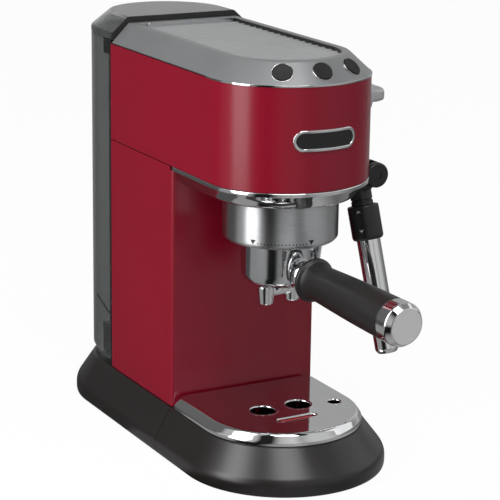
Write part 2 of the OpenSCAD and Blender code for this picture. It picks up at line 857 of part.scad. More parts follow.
// Steam tap: body, bracket leg down to the head frame, and the outlet stub
module steam_valve() {
    color("#b59a4c") translate([0, -knob_y, 0]) difference() {
        union() {
            translate([valve_x[0], 0, knob_z]) rotate([0, 90, 0])
                cylinder(h = valve_x[1] - valve_x[0], r = 8);
            translate([34, 4, head_z]) cube([8, 4, knob_z - head_z]);
            translate([pipe_x, 0, knob_z - 12]) cylinder(h = 6, r = 3.4);
        }
        translate([valve_x[1] - 14, 0, knob_z]) rotate([0, 90, 0])
            cylinder(h = 20, r = spindle_r + pin_fit);
    }
}

module steam_pipe() {
    color("#cfd1d3")
        pipe([[pipe_x, -knob_y, knob_z - 12], [pipe_x, -knob_y, head_z + 3], [pipe_x, -knob_y, band_z - 2],
              [arm_x - 4, knuckle[1], arm_z + arm_h / 2], [arm_x, knuckle[1], arm_z + arm_h / 2]],
             pipe_r);
}

module control_board() {
    color("#2c6a3a") slice_to(board_z, board_t) intersection() {
        head_plan(9, 40);
        translate([-far, -84]) square(2 * far);
    }
    color("#222224") {
        translate([-30, -30, board_z - 9]) cube([24, 18, 9]);
        translate([4, -20, board_z - 6]) cube([30, 22, 6]);
    }
}

// Thin bright line between the painted head and the cover
module upper_trim() {
    color("#2a2a2c") slice_to(shoulder_z, trim_h) difference() {
        head_plan(-0.1, head_back);
        head_plan(2.4, head_back + 1);
    }
}

// Top moulding: sloping sides and front, a ridge, and the recess for warming cups
module top_cover() {
    color("#a9abad") difference() {
        hull() {
            slice(cover_z) polygon(head_loop(0, head_back));
            slice(ridge_z - skin) polygon(ridge_loop(0, head_back));
        }
        hull() {
            slice(cover_z - 1) polygon(head_loop(cover_t + 1, head_back - cover_t));
            slice(recess_z - cover_t - skin) polygon(ridge_loop(-3.4, head_back - cover_t));
        }
        slice_to(recess_z, recess_h + 1) recess_plan(0);
        for (a = button_at) on_slope(a) {
            translate([0, 0, -9]) cylinder(h = 14, r = button_r + 0.25);
            translate([0, 0, -10]) cylinder(h = 10 - button_lip, r = button_r + 2.4);
        }
    }
}
module recess_plan(d) {
    half = recess_half - d;
    translate([0, half - recess_front + d]) circle(r = half);
    translate([-half, half - recess_front + d])
        square([2 * half, head_back - 5 - d - half + recess_front - d]);
}

// Plate that warms cups, ribbed across its back half
module cup_plate() {
    color("#9c9ea1") {
        slice_to(recess_z, plate_t) recess_plan(seat);
        for (i = [0 : 5]) translate([0, head_back - 12 - i * rib_pitch, recess_z + plate_t - skin])
            translate([-recess_half + 3, -1.4, 0]) cube([2 * recess_half - 6, 2.8, 1.4 + skin]);
    }
}

// Guides behind the three buttons, on one curved strip under the slope
module button_frame() {
    color("#2b2b2e") {
        difference() {
            translate([0, -button_axis_y, 0]) rotate([0, 0, -90 - button_deg - 18])
                rotate_extrude(angle = 2 * button_deg + 36)
                    translate([button_ring - 7.2, button_z - 7.2]) rotate([0, 0, -45])
                        translate([-7.5, -1]) square([16.5, 1.6]);
            for (a = button_at) on_slope(a) translate([0, 0, -16]) cylinder(h = 14, r = button_r - 1.4);
        }
        for (a = button_at) on_slope(a) tube(button_r + 2.2, button_r + 1.3, -9.8, -button_lip - seat);
    }
}

// Front badge: bare plate in a bright rim, both curved to the head's front
module badge_plate() {
    color("#141416") badge_part(0, badge_t - 0.6)
        pill(badge_len - 2 * badge_rim_w, badge_h - 2 * badge_rim_w);
}

module badge_rim() {
    color("#d9dbdd") badge_part(0, badge_t) difference() {
        pill(badge_len, badge_h);
        pill(badge_len - 2 * badge_rim_w, badge_h - 2 * badge_rim_w);
    }
}
module badge_part(from, to) {
    intersection() {
        translate([0, head_front_r - head_front, badge_z - badge_h])
            tube(head_front_r + to, head_front_r + from, 0, 2 * badge_h);
        translate([0, -head_front + 12, badge_z]) rotate([90, 0, 0]) linear_extrude(20) children();
    }
}

// ---- Brew group ----------------------------------------------------------------------

// Bayonet ring: a plain skirt with two inner ledges that hold the portafilter's lugs
module group_ring() {
    color("#b9bbbd") translate(brew) {
        rotate_extrude() polygon([
            [ring_bore_r, ring_z + 1], [ring_r - 2.4, ring_z], [ring_r, ring_z + 2.4],
            [ring_r, band_z], [ring_bore_r, band_z]]);
        difference() {
            tube(ring_bore_r + skin, rim_r + loose, ring_z + 2, ring_z + 2 + ledge_h);
            for (a = [0, 180]) sector(a + handle_deg - lock_deg, gap_deg, ring_bore_r, ring_z, 12);
        }
    }
}

module brew_head() {
    color("#9d9fa2") translate(brew) difference() {
        union() {
            translate([0, 0, gasket_z + gasket_h])
                cylinder(h = band_z - gasket_z - gasket_h, r = ring_bore_r);
            translate([0, 0, gasket_z - 1.1]) cylinder(h = gasket_h + 1.1 + skin, r = gasket_r);
        }
        translate([0, 0, gasket_z - 2]) cylinder(h = 14, r = 2.5);
    }
}

module group_gasket() {
    color("#3a2320") translate(brew) tube(ring_bore_r, gasket_r, gasket_z, gasket_z + gasket_h);
}

module shower_screen() {
    z = gasket_z - 1.1 - screen_t;
    color("#c2c4c6") translate(brew) difference() {
        translate([0, 0, z]) cylinder(h = screen_t, r = basket_r - basket_t - 0.5);
        translate([0, 0, z - 1]) cylinder(h = screen_t + 2, r = 2.5);
        for (ring = [1 : 2], a = [0 : 30 : 330]) rotate([0, 0, a + ring * 15])
            translate([7 + 6 * ring, 0, z - 1]) cylinder(h = screen_t + 2, r = 1, $fn = 16);
    }
}

module shower_screw() {
    z = gasket_z - 1.1 - screen_t;
    color("#8f9194") translate(brew) {
        translate([0, 0, z - 1.6]) cylinder(h = 1.6, r = 4.5);
        translate([0, 0, z - skin]) cylinder(h = 12, r = 2.5);
    }
}

// ---- Portafilter ---------------------------------------------------------------------

// Turned cup with a rim, two lugs and a cast neck towards the handle
module portafilter_cup() {
    color("#c6c8ca") on_brew_axis() difference() {
        union() {
            rotate_extrude() polygon([
                [0, cup_z], [cup_r - 7, cup_z], [cup_r - 2.6, cup_z + 1.8], [cup_r, cup_z + 6],
                [cup_r, ring_z - 0.5], [rim_r, ring_z + 1], [rim_r, rim_z], [0, rim_z]]);
            for (a = [0, 180]) intersection() {
                tube(ring_bore_r - 0.6, cup_bore_r + 1.5, lug_z, lug_z + lug_h);
                sector(a, lug_deg, ring_bore_r, lug_z, lug_h);
            }
            along_handle() {
                translate([-8.5, -9, 18]) cube([17, 20, 13]);
                cylinder(h = grip_from - 6, r = 9.5);
            }
        }
        translate([0, 0, basket_z - 1]) cylinder(h = far, r = cup_bore_r);
        translate([0, 0, cup_z - 1]) cylinder(h = far, r = 4.5);
        translate([0, 0, groove_z]) rotate_extrude() translate([cup_bore_r - 1, 0]) square([1.8, 1.1]);
        along_handle() translate([0, 0, 29]) cylinder(h = 20, r = 4);
    }
}

module filter_basket() {
    color("#cdd0d2") on_brew_axis() {
        rotate_extrude() polygon([
            [0, basket_z], [basket_r - 2, basket_z], [basket_r, basket_z + 3], [basket_r, rim_z],
            [rim_r - 0.2, rim_z], [rim_r - 0.2, rim_z + flange_t],
            [basket_r - basket_t, rim_z + flange_t], [basket_r - basket_t, basket_z + 3.2],
            [basket_r - 2.4, basket_z + basket_t], [0, basket_z + basket_t]]);
    }
}

module basket_spring() {
    color("#8a8c8f") on_brew_axis() translate([0, 0, groove_z + 0.55]) rotate_extrude()
        translate([cup_bore_r + 0.25, 0]) circle(r = spring_wire_r, $fn = 16);
}

// Two down spouts on a cross tube under the cup
module twin_spout() {
    z = cup_z - spout_r;
    color("#cfd1d3") on_brew_axis() difference() {
        union() {
            translate([0, 0, z]) cylinder(h = spout_r, r = 8);
            translate([0, 0, cup_z - skin]) cylinder(h = 5, r = 4.5);
            rod([-spout_x, 0, z], [spout_x, 0, z], spout_r);
            for (s = [-1, 1]) translate([s * spout_x, 0, z]) {
                sphere(r = spout_r);
                translate([0, 0, -spout_len]) cylinder(h = spout_len, r1 = spout_r - 0.8, r2 = spout_r);
            }
        }
        translate([0, 0, z]) cylinder(h = 20, r = 3);
        rod([-spout_x, 0, z], [spout_x, 0, z], 3);
        for (s = [-1, 1]) translate([s * spout_x, 0, z - spout_len - 1]) cylinder(h = spout_len + 1, r = 3);
    }
}

// Bright collar in front of the neck, with the rod that the grip is drawn up on
module handle_collar() {
    color("#d2d4d6") on_brew_axis() along_handle() {
        translate([0, 0, grip_from - 6]) cylinder(h = 6, r1 = 10.5, r2 = 13);
        translate([0, 0, 29]) cylinder(h = grip_to - 12 - 29, r = 4);
    }
}

// Soft black grip: a flange at the cup end, a waist, then a full barrel
module handle_grip() {
    color("#1e1c1b") on_brew_axis() along_handle() rotate_extrude() polygon([
        [4, grip_from], [grip_r - 1.2, grip_from], [grip_r + 0.6, grip_from + 1.4],
        [grip_r + 0.6, grip_from + 3], [grip_r - 1.4, grip_from + 5], [grip_r - 2.2, grip_from + 12],
        for (t = [0 : 0.1 : 1])
            [grip_r - 2.2 + 2.2 * sin(90 * t), grip_from + 14 + t * (grip_to - grip_from - 14)],
        [4, grip_to]]);
}

module handle_cap() {
    color("#d4d6d8") on_brew_axis() along_handle() rotate_extrude() polygon([
        [0, grip_to], [grip_r + 0.2, grip_to], [grip_r + 0.2, grip_to + cap_len - 3.4],
        [grip_r - 2, grip_to + cap_len], [0, grip_to + cap_len]]);
}

// ---- Water tank and lid --------------------------------------------------------------

module water_tank() {
    color("#5b5d5c", 0.55) {
        difference() {
            union() {
                slice_to(tank_z, 3) tank_plan(tank_half - 1.5, tank_y + 1.5, tank_back - 1.5);
                slice_to(tank_z + 3, tank_top - tank_z - 3) tank_plan(tank_half, tank_y, tank_back);
            }
            slice_to(tank_z + tank_wall, far)
                tank_plan(tank_half - tank_wall, tank_y + tank_wall, tank_back - tank_wall);
            translate([0, valve_y, tank_z - 1]) cylinder(h = tank_wall + 2, r = valve_r - 1);
            translate([-knuckle_w / 2 - seat, tank_back - 8, hinge_z - hinge_r - loose])
                cube([knuckle_w + 2 * seat, 20, far]);
        }
        for (s = [-1, 1]) difference() {
            translate([s * (knuckle_w / 2 + loose + ear_w / 2) - ear_w / 2, 0, 0]) union() {
                translate([0, hinge_y, hinge_z]) rotate([0, 90, 0]) cylinder(h = ear_w, r = hinge_r);
                translate([0, tank_back - 4, tank_top - 12])
                    cube([ear_w, hinge_y - tank_back + 5.5, 12 - skin]);
            }
            translate([-far / 2, hinge_y, hinge_z]) rotate([0, 90, 0]) cylinder(h = far, r = pin_r);
        }
    }
}

// Valve: poppet through the tank floor, with a cross pin above it inside
module tank_valve() {
    color("#2a2a2c") translate([0, valve_y, 0]) {
        translate([0, 0, base_h + 1]) cylinder(h = tank_foot_h + tank_wall + 1.4, r = valve_r - 1 - 0.1);
        translate([0, 0, tank_z + tank_wall + seat]) cylinder(h = 2.4, r = valve_r + 2);
        translate([0, 0, tank_z + tank_wall + seat + 2]) cylinder(h = 9, r = 3);
    }
}

// Softening filter that stands on the tank floor near the front
module tank_filter() {
    color("#222325") translate([-44, tank_y + tank_wall + 1, tank_z + tank_wall]) difference() {
        cube([34, 16, 24]);
        for (z = [4 : 4 : 20]) translate([3, -1, z]) cube([28, 2, 1.6]);
    }
}

// Grip bar moulded across the tank's front, just under the lid
module tank_grip() {
    color("#1e1f20") difference() {
        translate([tank_wall - tank_half, tank_y + tank_wall, tank_top - 12])
            cube([2 * (tank_half - tank_wall), 11, 11]);
        translate([-30, tank_y + tank_wall + 2.4, tank_top - 13]) cube([60, 9, 9]);
    }
}

module lid_pin() {
    color("#9a9c9f") translate([-knuckle_w / 2 - 8, hinge_y, hinge_z]) rotate([0, 90, 0])
        cylinder(h = knuckle_w + 16, r = pin_r);
}

module lid_form(d, z0) {
    hull() {
        slice(z0) polygon(tank_loop(lid_half - d, lid_y + d, lid_back - d));
        slice(lid_z + lid_wall_h - d * 0.5) polygon(tank_loop(lid_half - d, lid_y + d, lid_back - d));
        slice(lid_z + lid_h - skin - d)
            polygon(tank_loop(ridge_half_w - d * 0.6, lid_y + d, lid_back - 15 - d * 0.6));
    }
}

module tank_lid() {
    color("#4c4e4e", 0.7) difference() {
        union() {
            difference() {
                lid_form(0, lid_z);
                lid_form(tank_wall, lid_z - 1);
            }
            translate([-knuckle_w / 2, hinge_y, hinge_z]) rotate([0, 90, 0])
                cylinder(h = knuckle_w, r = hinge_r);
            translate([-knuckle_w / 2, tank_back - 4, lid_z]) cube([knuckle_w, 6.4, 3.4]);
        }
        translate([-far / 2, hinge_y, hinge_z]) rotate([0, 90, 0]) cylinder(h = far, r = pin_r + pin_fit);
        for (x = [-knuckle_w / 2 - 10, knuckle_w / 2]) translate([x, tank_back - 3.6, lid_z - 1])
            cube([10, 20, 6]);
    }
}

// ---- Knob, wand and buttons ----------------------------------------------------------

module steam_knob() {
    color("#c3c5c7") translate([0, -knob_y, knob_z]) {
        translate([knob_x, 0, 0]) rotate([0, 90, 0]) rotate_extrude()
            polygon([[0, 0], [knob_r, 0], [knob_r, knob_t - 1], [knob_r - 1, knob_t], [0, knob_t]]);
        intersection() {
            translate([knob_x + knob_t - skin, -knob_r, -grip_bar_t / 2])
                cube([grip_bar_h, 2 * knob_r, grip_bar_t]);
            translate([knob_x, 0, 0]) rotate([0, 90, 0]) cylinder(h = far, r = knob_r - 1);
        }
        translate([valve_x[1] - 12, 0, 0]) rotate([0, 90, 0])
            cylinder(h = knob_x - valve_x[1] + 12 + skin, r = spindle_r);
    }
}

// A child at the knuckle with its Z along the pin, centred on the pin's middle
module on_knuckle() translate(knuckle) rotate([90, 0, 0]) children();

// Tongue from under the head that enters the knuckle's slot, with the pin through its eye
module wand_bracket() {
    color("#1c1c1e") {
        on_knuckle() {
            cylinder(h = arm_t, r = arm_eye_r, center = true);
            cylinder(h = knuckle_d - 1, r = wand_pin_r, center = true);
        }
        translate([arm_x, arm_y, arm_z]) cube([knuckle[0] - arm_x, arm_t, arm_h]);
    }
}

// Knuckle slotted for the tongue, and the neck that the frother hangs on
module wand_elbow() {
    slot = arm_t + 2 * seat;
    color("#19191b") difference() {
        union() {
            on_knuckle() cylinder(h = knuckle_d, r = knuckle_r, center = true);
            hull() {
                on_knuckle() cylinder(h = knuckle_d - 0.8, r = knuckle_r - 0.4, center = true, $fn = 32);
                along_wand(-10) cylinder(h = 2, r = neck_r - 0.4, $fn = 32);
            }
            along_wand(-11) cylinder(h = 17, r = neck_r);
        }
        on_knuckle() {
            cylinder(h = knuckle_d + 2, r = wand_pin_r + pin_fit, center = true);
            cylinder(h = slot, r = arm_eye_r + seat, center = true);
            translate([-far, -arm_eye_r - seat, -slot / 2]) cube([far + 1.4, far, slot]);
        }
    }
}

// Bright outer tube with a narrowed tip and the steam bore
module frother_tube() {
    color("#cdd0d2") along_wand(6) difference() {
        rotate_extrude() polygon([
            [0, 0], [neck_r - 0.2, 0], [frother_r, 1], [frother_r, wand_len - 8],
            [frother_r - 2, wand_len - 6], [0, wand_len - 6]]);
        translate([0, 0, wand_len - 26]) cylinder(h = 30, r = 3);
    }
}

module frother_selector() {
    color("#151517") along_wand() tube(selector_r, frother_r + 0.3, 0, selector_len);
}

module push_button(a) {
    color("#2d2d30") on_slope(a) rotate_extrude() polygon([
        [0, -button_depth], [button_r + 0.9, -button_depth], [button_r + 0.9, -button_lip - seat],
        [button_r, -button_lip - seat], [button_r, button_proud - 0.6], [button_r - 0.6, button_proud],
        [0, button_proud]]);
}
module button_left() push_button(-button_deg);
module button_middle() push_button(0);
module button_right() push_button(button_deg);

place() base_housing();
place() base_frame();
place() rubber_feet();
place() base_screws();
place() cable_gland();
place() switch_frame();
place() switch_rocker();
place() tank_socket();
place() drip_tray();
place() level_float();
place() cup_grille();
place() column_shell();
place() rear_panel();
place() column_frame();
place() power_board();
place() pump();
place() pump_mounts();
place() flow_meter();
place() suction_hose();
place() delivery_pipe();
place() head_shell();
place() head_band();
place() head_underpan();
place() head_frame();
place() thermoblock();
place() steam_valve();
place() steam_pipe();
place() control_board();
place() upper_trim();
place() top_cover();
place() cup_plate();
place() button_frame();
place() badge_plate();
place() badge_rim();
place() group_ring();
place() brew_head();
place() group_gasket();
place() shower_screen();
place() shower_screw();
place() portafilter_cup();
place() filter_basket();
place() basket_spring();
place() twin_spout();
place() handle_collar();
place() handle_grip();
place() handle_cap();
place() water_tank();
place() tank_valve();
place() tank_filter();
place() tank_grip();
place() lid_pin();
place() tank_lid();
place() steam_knob();
place() wand_bracket();
place() wand_elbow();
place() frother_tube();
place() frother_selector();
place() button_left();
place() button_middle();
place() button_right();
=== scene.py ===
"""Looks of a pump espresso machine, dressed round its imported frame.

Lengths here are millimetres in the maker's axes: X = 0 is the symmetry plane, Y = 0 the
front face of the column with the user at -Y, and Z = 0 the worktop. Each surface is worked
out as whole arrays in these axes and put into the shared frame, in metres, at the end.
"""

import logging
import math
from collections.abc import Callable, Sequence
from dataclasses import dataclass, field
from enum import Enum

import bpy
import numpy as np
from mathutils import Matrix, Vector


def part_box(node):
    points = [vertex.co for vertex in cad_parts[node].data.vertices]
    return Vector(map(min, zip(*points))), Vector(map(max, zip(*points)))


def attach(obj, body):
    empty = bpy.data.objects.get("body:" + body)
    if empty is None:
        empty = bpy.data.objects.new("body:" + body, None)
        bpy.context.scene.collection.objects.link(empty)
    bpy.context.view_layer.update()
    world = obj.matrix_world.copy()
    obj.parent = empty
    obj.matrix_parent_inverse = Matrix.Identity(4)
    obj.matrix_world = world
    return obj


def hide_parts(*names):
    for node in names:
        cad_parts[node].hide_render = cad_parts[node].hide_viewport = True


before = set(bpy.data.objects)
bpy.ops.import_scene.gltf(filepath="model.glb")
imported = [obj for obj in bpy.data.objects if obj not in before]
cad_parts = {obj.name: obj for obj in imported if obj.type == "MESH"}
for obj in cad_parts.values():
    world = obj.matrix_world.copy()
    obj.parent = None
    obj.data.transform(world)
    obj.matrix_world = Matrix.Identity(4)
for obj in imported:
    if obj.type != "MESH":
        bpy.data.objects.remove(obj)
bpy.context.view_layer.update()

log = logging.getLogger("espresso_machine")

BREW_Y = 51.0
CREASE_DEG = 32.0  # an edge that turns by more than this stays sharp


def machine_origin() -> np.ndarray:
    """Finds the maker's origin in the shared frame: the brew axis stands in front of it.

    Returns:
        The offset, in millimetres, from the maker's axes to the shared frame.
    """
    low, high = (np.array(corner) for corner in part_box("group_ring"))
    middle = (low + high) * 500.0
    return np.array([middle[0], middle[1] + BREW_Y, 0.0])


ORIGIN = machine_origin()


# ---- Surfaces ------------------------------------------------------------------------


@dataclass
class Skin:
    """Closed surface: its points, its quads and the flat faces that close its ends."""

    points: np.ndarray
    quads: np.ndarray
    caps: list[list[int]] = field(default_factory=list)

    def volume(self) -> float:
        """Sums the signed volumes of the tetrahedra from the origin to every triangle.

        Returns:
            The enclosed volume, negative where the faces point inwards.
        """
        fans = [np.array([[c[0], a, b] for a, b in zip(c[1:-1], c[2:])]) for c in self.caps]
        halves = [self.quads[:, [0, 1, 2]], self.quads[:, [0, 2, 3]]] + fans
        a, b, c = np.moveaxis(self.points[np.concatenate(halves)], 1, 0)
        return float(np.einsum("ij,ij->i", a, np.cross(b, c)).sum() / 6)

    def outward(self) -> "Skin":
        """Turns every face round where the surface is inside out."""
        if self.volume() < 0:
            self.quads = self.quads[:, ::-1]
            self.caps = [cap[::-1] for cap in self.caps]
        return self


def skin(grid: np.ndarray, ring_rows: bool = False, ring_cols: bool = True) -> Skin:
    """Makes quads between neighbouring rows of a grid, and closes its open ends.

    Args:
        grid: Points as rows by columns by three.
        ring_rows: Whether the last row joins the first.
        ring_cols: Whether the last column joins the first.

    Returns:
        The surface with its faces outwards.
    """
    same = np.abs(np.diff(grid, axis=0)).max(axis=(1, 2)) < 1e-6
    grid = grid[np.concatenate([[True], ~same])]
    rows, cols = grid.shape[:2]
    index = np.arange(rows * cols).reshape(rows, cols)
    ahead = np.roll(index, -1, axis=0)
    quads = np.stack([index, np.roll(index, -1, 1), np.roll(ahead, -1, 1), ahead], -1)
    quads = quads[: rows if ring_rows else rows - 1, : cols if ring_cols else cols - 1]
    if ring_rows:
        caps = [] if ring_cols else [index[::-1, 0].tolist(), index[:, -1].tolist()]
    else:
        caps = [index[0, ::-1].tolist(), index[-1].tolist()]
    return Skin(grid.reshape(-1, 3), quads.reshape(-1, 4), caps).outward()


def join(*skins: Skin) -> Skin:
    """Puts several closed surfaces into one, each with its own points."""
    starts = np.cumsum([0] + [len(s.points) for s in skins])
    return Skin(
        np.concatenate([s.points for s in skins]),
        np.concatenate([s.quads + start for s, start in zip(skins, starts)]),
        [[i + int(start) for i in cap] for s, start in zip(skins, starts) for cap in s.caps],
    )


def rounded(
    keys: np.ndarray, radii: Sequence[float], steps: int = 6, ring: bool = False
) -> np.ndarray:
    """Rounds the corners of a run of points, or of a run of whole outlines.

    At each corner B between A and C the run leaves AB one radius before B and joins BC one
    radius after it, along the curve (1-s)^2 a + 2s(1-s) B + s^2 c for s from 0 to 1.

    Args:
        keys: Corners, or outlines of equal length, in order.
        radii: How far before and after each corner its curve starts; 0 leaves it sharp.
        steps: Points on each curve.
        ring: Whether the run closes on itself.

    Returns:
        The rounded run.
    """
    keys = np.asarray(keys, float)
    run = np.concatenate([keys[-1:], keys, keys[:1]]) if ring else keys
    reach = np.asarray(radii, float) if ring else np.asarray(radii, float)[1:-1]
    before, corner, after = run[:-2] - run[1:-1], run[1:-1], run[2:] - run[1:-1]
    shape = (-1,) + (1,) * (run.ndim - 1)
    lengths = [np.maximum(np.linalg.norm(v, axis=-1, keepdims=True), 1e-9) for v in (before, after)]
    cut = np.minimum(reach.reshape(shape), np.minimum(0.49 * lengths[0], 0.49 * lengths[1]))
    a, c = corner + before / lengths[0] * cut, corner + after / lengths[1] * cut
    s = np.linspace(0, 1, steps).reshape((1, -1) + (1,) * (run.ndim - 1))
    bends = (1 - s) ** 2 * a[:, None] + 2 * s * (1 - s) * corner[:, None] + s**2 * c[:, None]
    bends = bends.reshape((-1,) + run.shape[1:])
    return bends if ring else np.concatenate([run[:1], bends, run[-1:]])


@dataclass(frozen=True)
class Axis:
    """Place and direction of a turned piece: its radii lie along u and v, its height along w."""

    at: tuple[float, float, float] = (0.0, 0.0, 0.0)
    w: tuple[float, float, float] = (0.0, 0.0, 1.0)
    u: tuple[float, float, float] = (1.0, 0.0, 0.0)

    def frame(self) -> tuple[np.ndarray, np.ndarray, np.ndarray]:
        """Gives three unit vectors square to each other, the last along the axis."""
        w = np.array(self.w) / np.linalg.norm(self.w)
        u = np.array(self.u) - w * np.dot(self.u, w)
        u = u / np.linalg.norm(u)
        return u, np.cross(w, u), w

    def put(self, local: np.ndarray) -> np.ndarray:
        """Places points given as (u, v, w) on the axis."""
        return np.array(self.at) + np.asarray(local) @ np.stack(self.frame())


def turned(
    profile: Sequence[tuple[float, float]],
    radii: Sequence[float],
    axis: Axis = Axis(),
    hollow: bool = False,
    sides: int = 96,
    steps: int = 6,
    sweep: tuple[float, float] | None = None,
) -> Skin:
    """Turns a profile of (radius, height) about an axis: (r cos a, r sin a, h).

    Args:
        profile: Corners, from one end to the other, or round the wall where it is hollow.
        radii: How far each corner is rounded.
        axis: Place and direction.
        hollow: Whether the profile closes on itself, as a tube's wall does.
        sides: Points round the axis.
        steps: Points on each rounded corner.
        sweep: First and last angle in degrees, where it doesn't go all the way round.

    Returns:
        The turned surface.
    """
    run = rounded(np.array(profile, float), radii, steps, ring=hollow)
    if sweep is None:
        angle = np.linspace(0, 2 * np.pi, sides, endpoint=False)
    else:
        angle = np.radians(np.linspace(*sweep, sides))
    r, h = run[:, 0][:, None], run[:, 1][:, None]
    local = np.stack([r * np.cos(angle), r * np.sin(angle), h + 0 * angle], -1)
    return skin(axis.put(local), ring_rows=hollow, ring_cols=sweep is None)


def lifted(outline: np.ndarray, z: float) -> np.ndarray:
    """Stands a flat outline at height z."""
    return np.concatenate([outline, np.full((len(outline), 1), float(z))], 1)


def loft(outlines: Sequence[np.ndarray], radii: Sequence[float], steps: int = 6) -> Skin:
    """Joins outlines of equal length, rounding the edge at each one.

    Args:
        outlines: Outlines in space, from one end to the other.
        radii: How far the surface is rounded at each outline.
        steps: Rows in each rounded edge.

    Returns:
        The surface, closed by flat ends.
    """
    return skin(rounded(np.stack(outlines), radii, steps))


def wall(
    outline: Callable[[float], np.ndarray],
    section: Sequence[tuple[float, float]],
    radii: Sequence[float],
    open_ends: bool = True,
    steps: int = 5,
) -> Skin:
    """Carries a closed section of (inset, height) along an outline.

    Each corner of the section gives a copy of the outline, drawn in by its inset and stood
    at its height; the rounded corners lie between those copies.

    Args:
        outline: Gives the flat outline for an inset.
        section: Corners of the section, in order round it.
        radii: How far each corner is rounded.
        open_ends: Whether the outline stops at two ends instead of closing.
        steps: Points on each rounded corner.

    Returns:
        The wall.
    """
    run = rounded(np.array(section, float), radii, steps, ring=True)
    grid = np.stack([lifted(outline(inset), z) for inset, z in run])
    return skin(grid, ring_rows=True, ring_cols=not open_ends)


def arc(centre: tuple[float, float], r: float, start: float, end: float, count: int) -> np.ndarray:
    """Gives points of a flat arc, c + r (cos a, sin a), for angles in degrees."""
    a = np.radians(np.linspace(start, end, count))
    return np.stack([centre[0] + r * np.cos(a), centre[1] + r * np.sin(a)], 1)


def tube_skin(path: np.ndarray, r: float | np.ndarray, sides: int = 24) -> Skin:
    """Carries a circle along a path, turned square to it at each point.

    Args:
        path: Points of the path.
        r: Radius, or one radius per point.
        sides: Points round the tube.

    Returns:
        The tube, closed at both ends.
    """
    t = np.gradient(path, axis=0)
    t /= np.linalg.norm(t, axis=1, keepdims=True)
    u = np.cross(t, [0.31, 0.77, 0.17])
    u /= np.linalg.norm(u, axis=1, keepdims=True)
    v = np.cross(t, u)
    a = np.linspace(0, 2 * np.pi, sides, endpoint=False)[None, :, None]
    radius = np.broadcast_to(np.asarray(r, float), (len(path),))[:, None, None]
    return skin(path[:, None] + radius * (np.cos(a) * u[:, None] + np.sin(a) * v[:, None]))


# ---- Plan outlines -------------------------------------------------------------------


@dataclass(frozen=True)
class HeadPlan:
    """Front of the head: a broad arc between two tighter shoulders, then straight sides."""

    half: float = 58.6
    front: float = 111.0
    shoulder_r: float = 52.0
    front_r: float = 62.0
    ridge_half: float = 44.6
    ridge_front: float = 96.3

    def angles(self) -> tuple[np.ndarray, float, float]:
        """Works out how the broad arc and the two shoulders meet.

        Returns:
            The directions that the outline faces, point by point, in degrees; where the
            shoulders' centres lie along Y; and half the angle of the broad arc.
        """
        side = self.half - self.shoulder_r
        sy = self.front_r - self.front - math.sqrt((self.front_r - self.shoulder_r) ** 2 - side**2)
        lean = math.degrees(math.atan2(side, self.front_r - self.front - sy))
        knees = [180.0, 270.0 - lean, 270.0 + lean, 360.0]
        parts = [np.linspace(a, b, n)[:-1] for a, b, n in zip(knees, knees[1:], (18, 42, 18))]
        return np.concatenate(parts + [[360.0]]), sy, lean

    def outline(self, inset: float, back: float = 102.0) -> np.ndarray:
        """Gives the outline from the left back corner round the front to the right one.

        Args:
            inset: How far the outline is drawn in.
            back: Where the straight sides end.

        Returns:
            Flat points.
        """
        angle, sy, lean = self.angles()
        middle = np.abs(angle - 270) <= lean
        cx = np.where(middle, 0, np.sign(angle - 270) * (self.half - self.shoulder_r))
        cy = np.where(middle, self.front_r - self.front, sy)
        r = np.where(middle, self.front_r, self.shoulder_r) - inset
        a = np.radians(angle)
        nose = np.stack([cx + r * np.cos(a), cy + r * np.sin(a)], 1)
        return straight_sides(nose, (back,))

    def round_front(self, r: float, centre_y: float, back: float) -> np.ndarray:
        """Gives a half round with straight sides, facing the same way point by point."""
        a = np.radians(self.angles()[0])
        return straight_sides(np.stack([r * np.cos(a), centre_y + r * np.sin(a)], 1), (back,))

    def ridge(self, inset: float, back: float) -> np.ndarray:
        """Gives the outline of the ridge along the top."""
        return self.round_front(self.ridge_half - inset, self.ridge_half - self.ridge_front, back)


def straight_sides(nose: np.ndarray, stops: Sequence[float]) -> np.ndarray:
    """Adds straight sides, with a point at each stop, to both ends of a nose.

    Args:
        nose: Flat points of the round, from its left end to its right.
        stops: Where the sides have points along Y, the furthest from the nose first.

    Returns:
        Flat points, from the left side's far end to the right's.
    """
    left = np.array([[nose[0, 0], y] for y in stops])
    right = np.array([[nose[-1, 0], y] for y in stops[::-1]])
    return np.concatenate([left, nose, right])


def half_round(half: float, tip: float, cut: float, facing: int, count: int = 65) -> np.ndarray:
    """Gives a half round end with straight sides to a cross cut.

    Args:
        half: Half the width.
        tip: How far the end reaches along Y.
        cut: Where the sides stop.
        facing: -1 for an end at the front, 1 for one at the back.
        count: Points on the round.

    Returns:
        Flat points, from the left of the cut to its right.
    """
    a = np.radians(np.linspace(180, 360, count))
    nose = np.stack([half * np.cos(a), tip - facing * half - facing * half * np.sin(a)], 1)
    return straight_sides(nose, (cut,))


def arch(half: float, front: float, back: float, corner: float = 6.0) -> np.ndarray:
    """Gives a half round front with a straight back and two rounded back corners.

    Args:
        half: Half the width.
        front: How far the round reaches towards the user.
        back: Where the straight back lies along Y.
        corner: Radius of the back corners.

    Returns:
        Flat points of the closed outline.
    """
    return np.concatenate([
        arc((0, half - front), half, 180, 360, 65),
        arc((half - corner, back - corner), corner, 0, 90, 8),
        arc((corner - half, back - corner), corner, 90, 180, 8),
    ])


